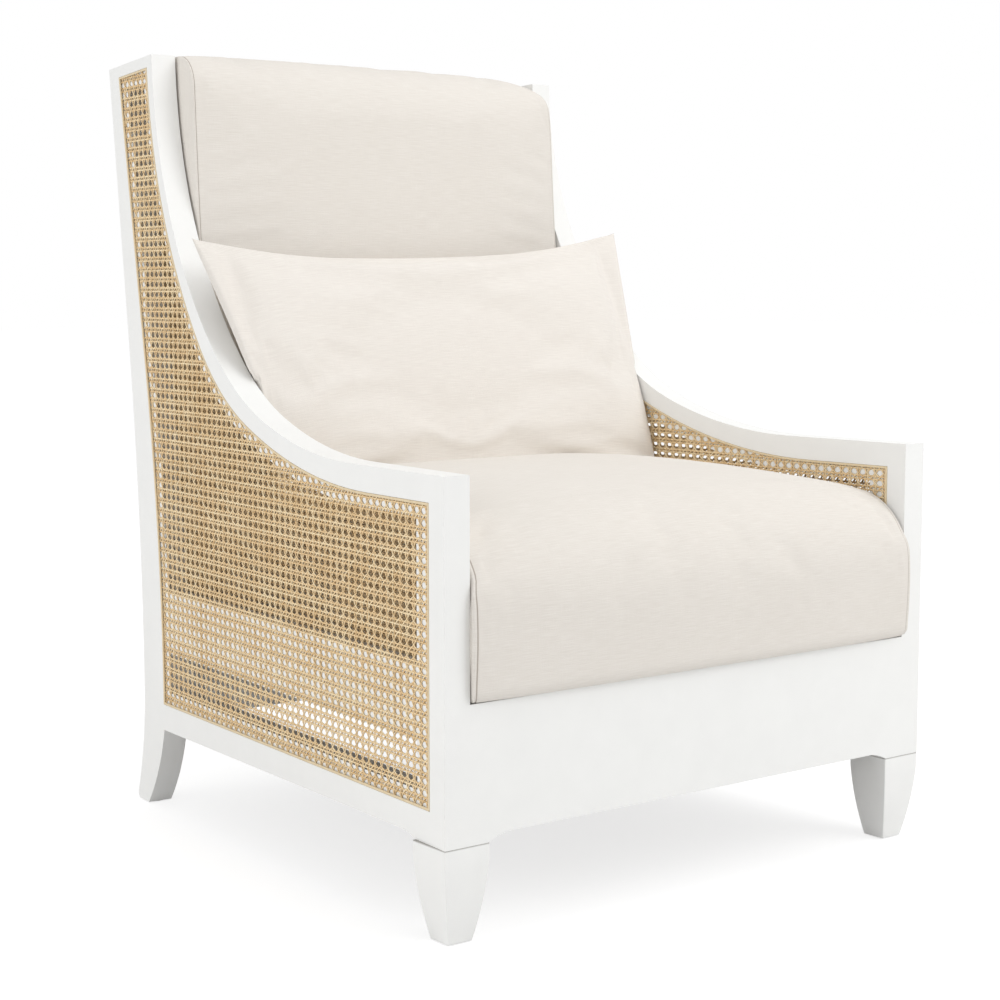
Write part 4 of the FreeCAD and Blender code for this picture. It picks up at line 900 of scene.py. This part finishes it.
def pillow_length(a, b):
    """Half the pillow's length at a height: above 0.4 of the way up the ears spread, with the share of
    the rest to the power 1.2, and a fifth less on the right."""
    ear = np.clip(((b + 1) / 2 - 0.4) / 0.6, 0, 1)
    return PILLOW_LOW_HALF + PILLOW_EARS * ear ** 1.2 * (0.9 - 0.1 * a)


def clear_of_arms(x, y, z):
    """Keeps points off the arms: below the foot of their sweep within the side frames, and above it
    in front of the sweep's face."""
    face = SIDE_CORNER[1] + np.interp(z, SWEEP_HEIGHTS, SWEEP_BEHIND)
    room = cushion_side(y) - BACK_GAP
    beside = abs(x) > room
    return (np.where(beside & (z < SWEEP_FOOT), np.sign(x) * room, x),
            np.where(beside & (z >= SWEEP_FOOT), np.minimum(y, face - 0.004), y))


def clear_of_cushions(x, y, z):
    """Keeps points above the seat and in front of the back, as an array of places."""
    z = np.maximum(z, seat_top(x, y) + PRESSED)
    return np.stack([x, np.minimum(y, back_face(x, z) - PRESSED), z], axis=-1)


def pillow_surface(a, b, face):
    """A point of the pillow. a runs along it and b up it, both from -1 to 1; face is -1 in front and
    1 behind. The two faces stand off the seam's surface by half * ((1 - a^2)(1 - b^2))^0.5, fuller
    towards the edges, and stop where they meet the seat and the back."""
    climbed = (b + 1) / 2
    x = a * (pillow_length(a, b) - 0.002 * (1 - b ** 2))
    foot = SIDE_CORNER[1] + PILLOW_REACH + PILLOW_BOW * (1 - a ** 2)
    low = seat_top(x, foot) - 0.004 + 0.012 * a ** 8
    high = PILLOW_TOP + 0.009 * a - PILLOW_DIP * (1 - a ** 4)
    lean = PILLOW_LEAN - 0.06 * (1 - a ** 2)
    z = low + climbed * (high - low)
    y = foot + climbed * (high - low) * lean
    stand = PILLOW_HALF * ((1 - a ** 2) * (1 - b ** 2)) ** 0.5 * (1 + 0.3 * a ** 2 + 0.25 * b ** 2)
    slope = np.arctan(lean)
    y, z = y + face * stand * np.cos(slope), z - face * stand * np.sin(slope)
    return clear_of_cushions(*clear_of_arms(x, y, z), z)


def closing_in(count):
    """Shares from -1 to 1, closer together towards both ends: sin(0.93 * quarter turn * share)."""
    turn = 0.93 * math.pi / 2
    return np.sin(np.linspace(-turn, turn, count)) / math.sin(turn)


along, up = np.meshgrid(*[closing_in(count) for count in PILLOW_GRID], indexing="ij")
rings = np.concatenate([pillow_surface(along, up, -1), pillow_surface(along, up, 1)[:, ::-1]], axis=1)
cut_up = up * PILLOW_CUT[1] - 1.2 * PILLOW_DIP * (up + 1) / 2 * (1 - along ** 4)
cloth = np.stack([along * (pillow_length(along, up) + PILLOW_CUT[0]), cut_up, along * 0], axis=-1)
cloths = np.concatenate([cloth, cloth[:, ::-1] + [0, 0.5, 1]], axis=1)
pillow = grid_piece("pillow", rings, cloths)
places, cloths = points_of(pillow)
resting = ((places[:, 2] < seat_top(places[:, 0], places[:, 1]) + PRESSED * 1.5)
           | (places[:, 1] > back_face(places[:, 0], places[:, 2]) - PRESSED * 1.5))
flat = cloths * [1, 1, 0] - cloths[:, 2:] * [0, 0.5, 0]
places = fill_out(pillow, resting.astype(float), pressure=1.6, slack=0.0, cap=0.025, cut=flat)
place_points(pillow, clear_of_cushions(*clear_of_arms(*places.T), places[:, 2]))
finish_with(pillow, linen("pillow_linen", srgb(227, 221, 214), srgb(236, 231, 224), 0))
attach(pillow, "lumbar_pillow")
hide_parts("lumbar_pillow")


# Studio. A pale floor that takes a soft shadow, white surroundings, broad soft lamps, and a
# camera where the photographer's stood.
FLOOR_HALF = 30
FLOOR_OWN = 0.735  # the part of the floor's white that is its own light


def seen_by_lens(tree):
    """1 on rays from the camera, in reflections and through glass, 0 on those that light the chair."""
    path = put(tree, "ShaderNodeLightPath").outputs
    return maths(tree, "MAXIMUM", maths(tree, "MAXIMUM", path["Is Camera Ray"], path["Is Glossy Ray"]),
                 path["Is Transmission Ray"])


def studio_floor():
    """A white floor: for the camera most of its light is its own, so it reads as white where it is
    lit and still takes the chair's shadow."""
    material, tree = new_finish("studio_floor")
    tree.nodes.remove(tree.nodes["Principled BSDF"])
    lit = put(tree, "ShaderNodeBsdfDiffuse", {"Color": srgb(172, 172, 172)}).outputs[0]
    own = put(tree, "ShaderNodeEmission", {"Color": (1, 1, 1, 1), "Strength": FLOOR_OWN}).outputs[0]
    both = put(tree, "ShaderNodeAddShader", {0: lit, 1: own}).outputs[0]
    plain = put(tree, "ShaderNodeBsdfDiffuse", {"Color": srgb(235, 235, 235)}).outputs[0]
    choice = put(tree, "ShaderNodeMixShader", {0: seen_by_lens(tree), 1: plain, 2: both})
    feed(tree, tree.nodes["Material Output"], {"Surface": choice.outputs[0]})
    return material


floor = shell_of("studio_floor", np.array([(-1, -1, 0), (1, -1, 0), (1, 1, 0), (-1, 1, 0)]) * FLOOR_HALF,
                 [[0, 1, 2, 3]])
floor.data.materials.append(studio_floor())

world = bpy.data.worlds.new("studio")
bpy.context.scene.world = world
world.use_nodes = True
sky = world.node_tree
feed(sky, sky.nodes["Background"], {
    "Color": (1, 1, 1, 1), "Strength": ranged(sky, seen_by_lens(sky), to_low=0.66, to_high=1.0)})


def soft_lamp(name, place, aim, size, power):
    """A square soft box at a place, turned to its aim."""
    light = bpy.data.lights.new(name, "AREA")
    light.shape, light.size, light.energy = "SQUARE", size, power
    lamp = linked(name, light)
    place, aim = np.array(place, float), np.array(aim, float)
    back = (place - aim) / np.linalg.norm(place - aim)
    lamp.location = place
    lamp.rotation_euler = (math.acos(back[2]), 0, math.atan2(back[0], -back[1]))


soft_lamp("key_lamp", (1.5, -2.7, 2.5), (0, 0, 0.5), 2.4, 46)
soft_lamp("side_lamp", (-3.0, 0.0, 0.8), (0, 0, 0.4), 2.0, 22)
soft_lamp("top_lamp", (0.3, -0.5, 3.3), (0, 0, 0.5), 2.6, 20)

CAMERA_DOWN, CAMERA_TURN = 6.053, 37.611  # degrees below level, and round to the chair's left
camera = linked("camera", bpy.data.cameras.new("camera"))
camera.location = (-1.6137, -2.1177, 0.7153)
camera.rotation_euler = (math.radians(90 - CAMERA_DOWN), 0, math.radians(-CAMERA_TURN))
camera.data.lens = 71.93
camera.data.sensor_width = 36
bpy.context.scene.camera = camera
bpy.context.scene.view_settings.view_transform = "Standard"
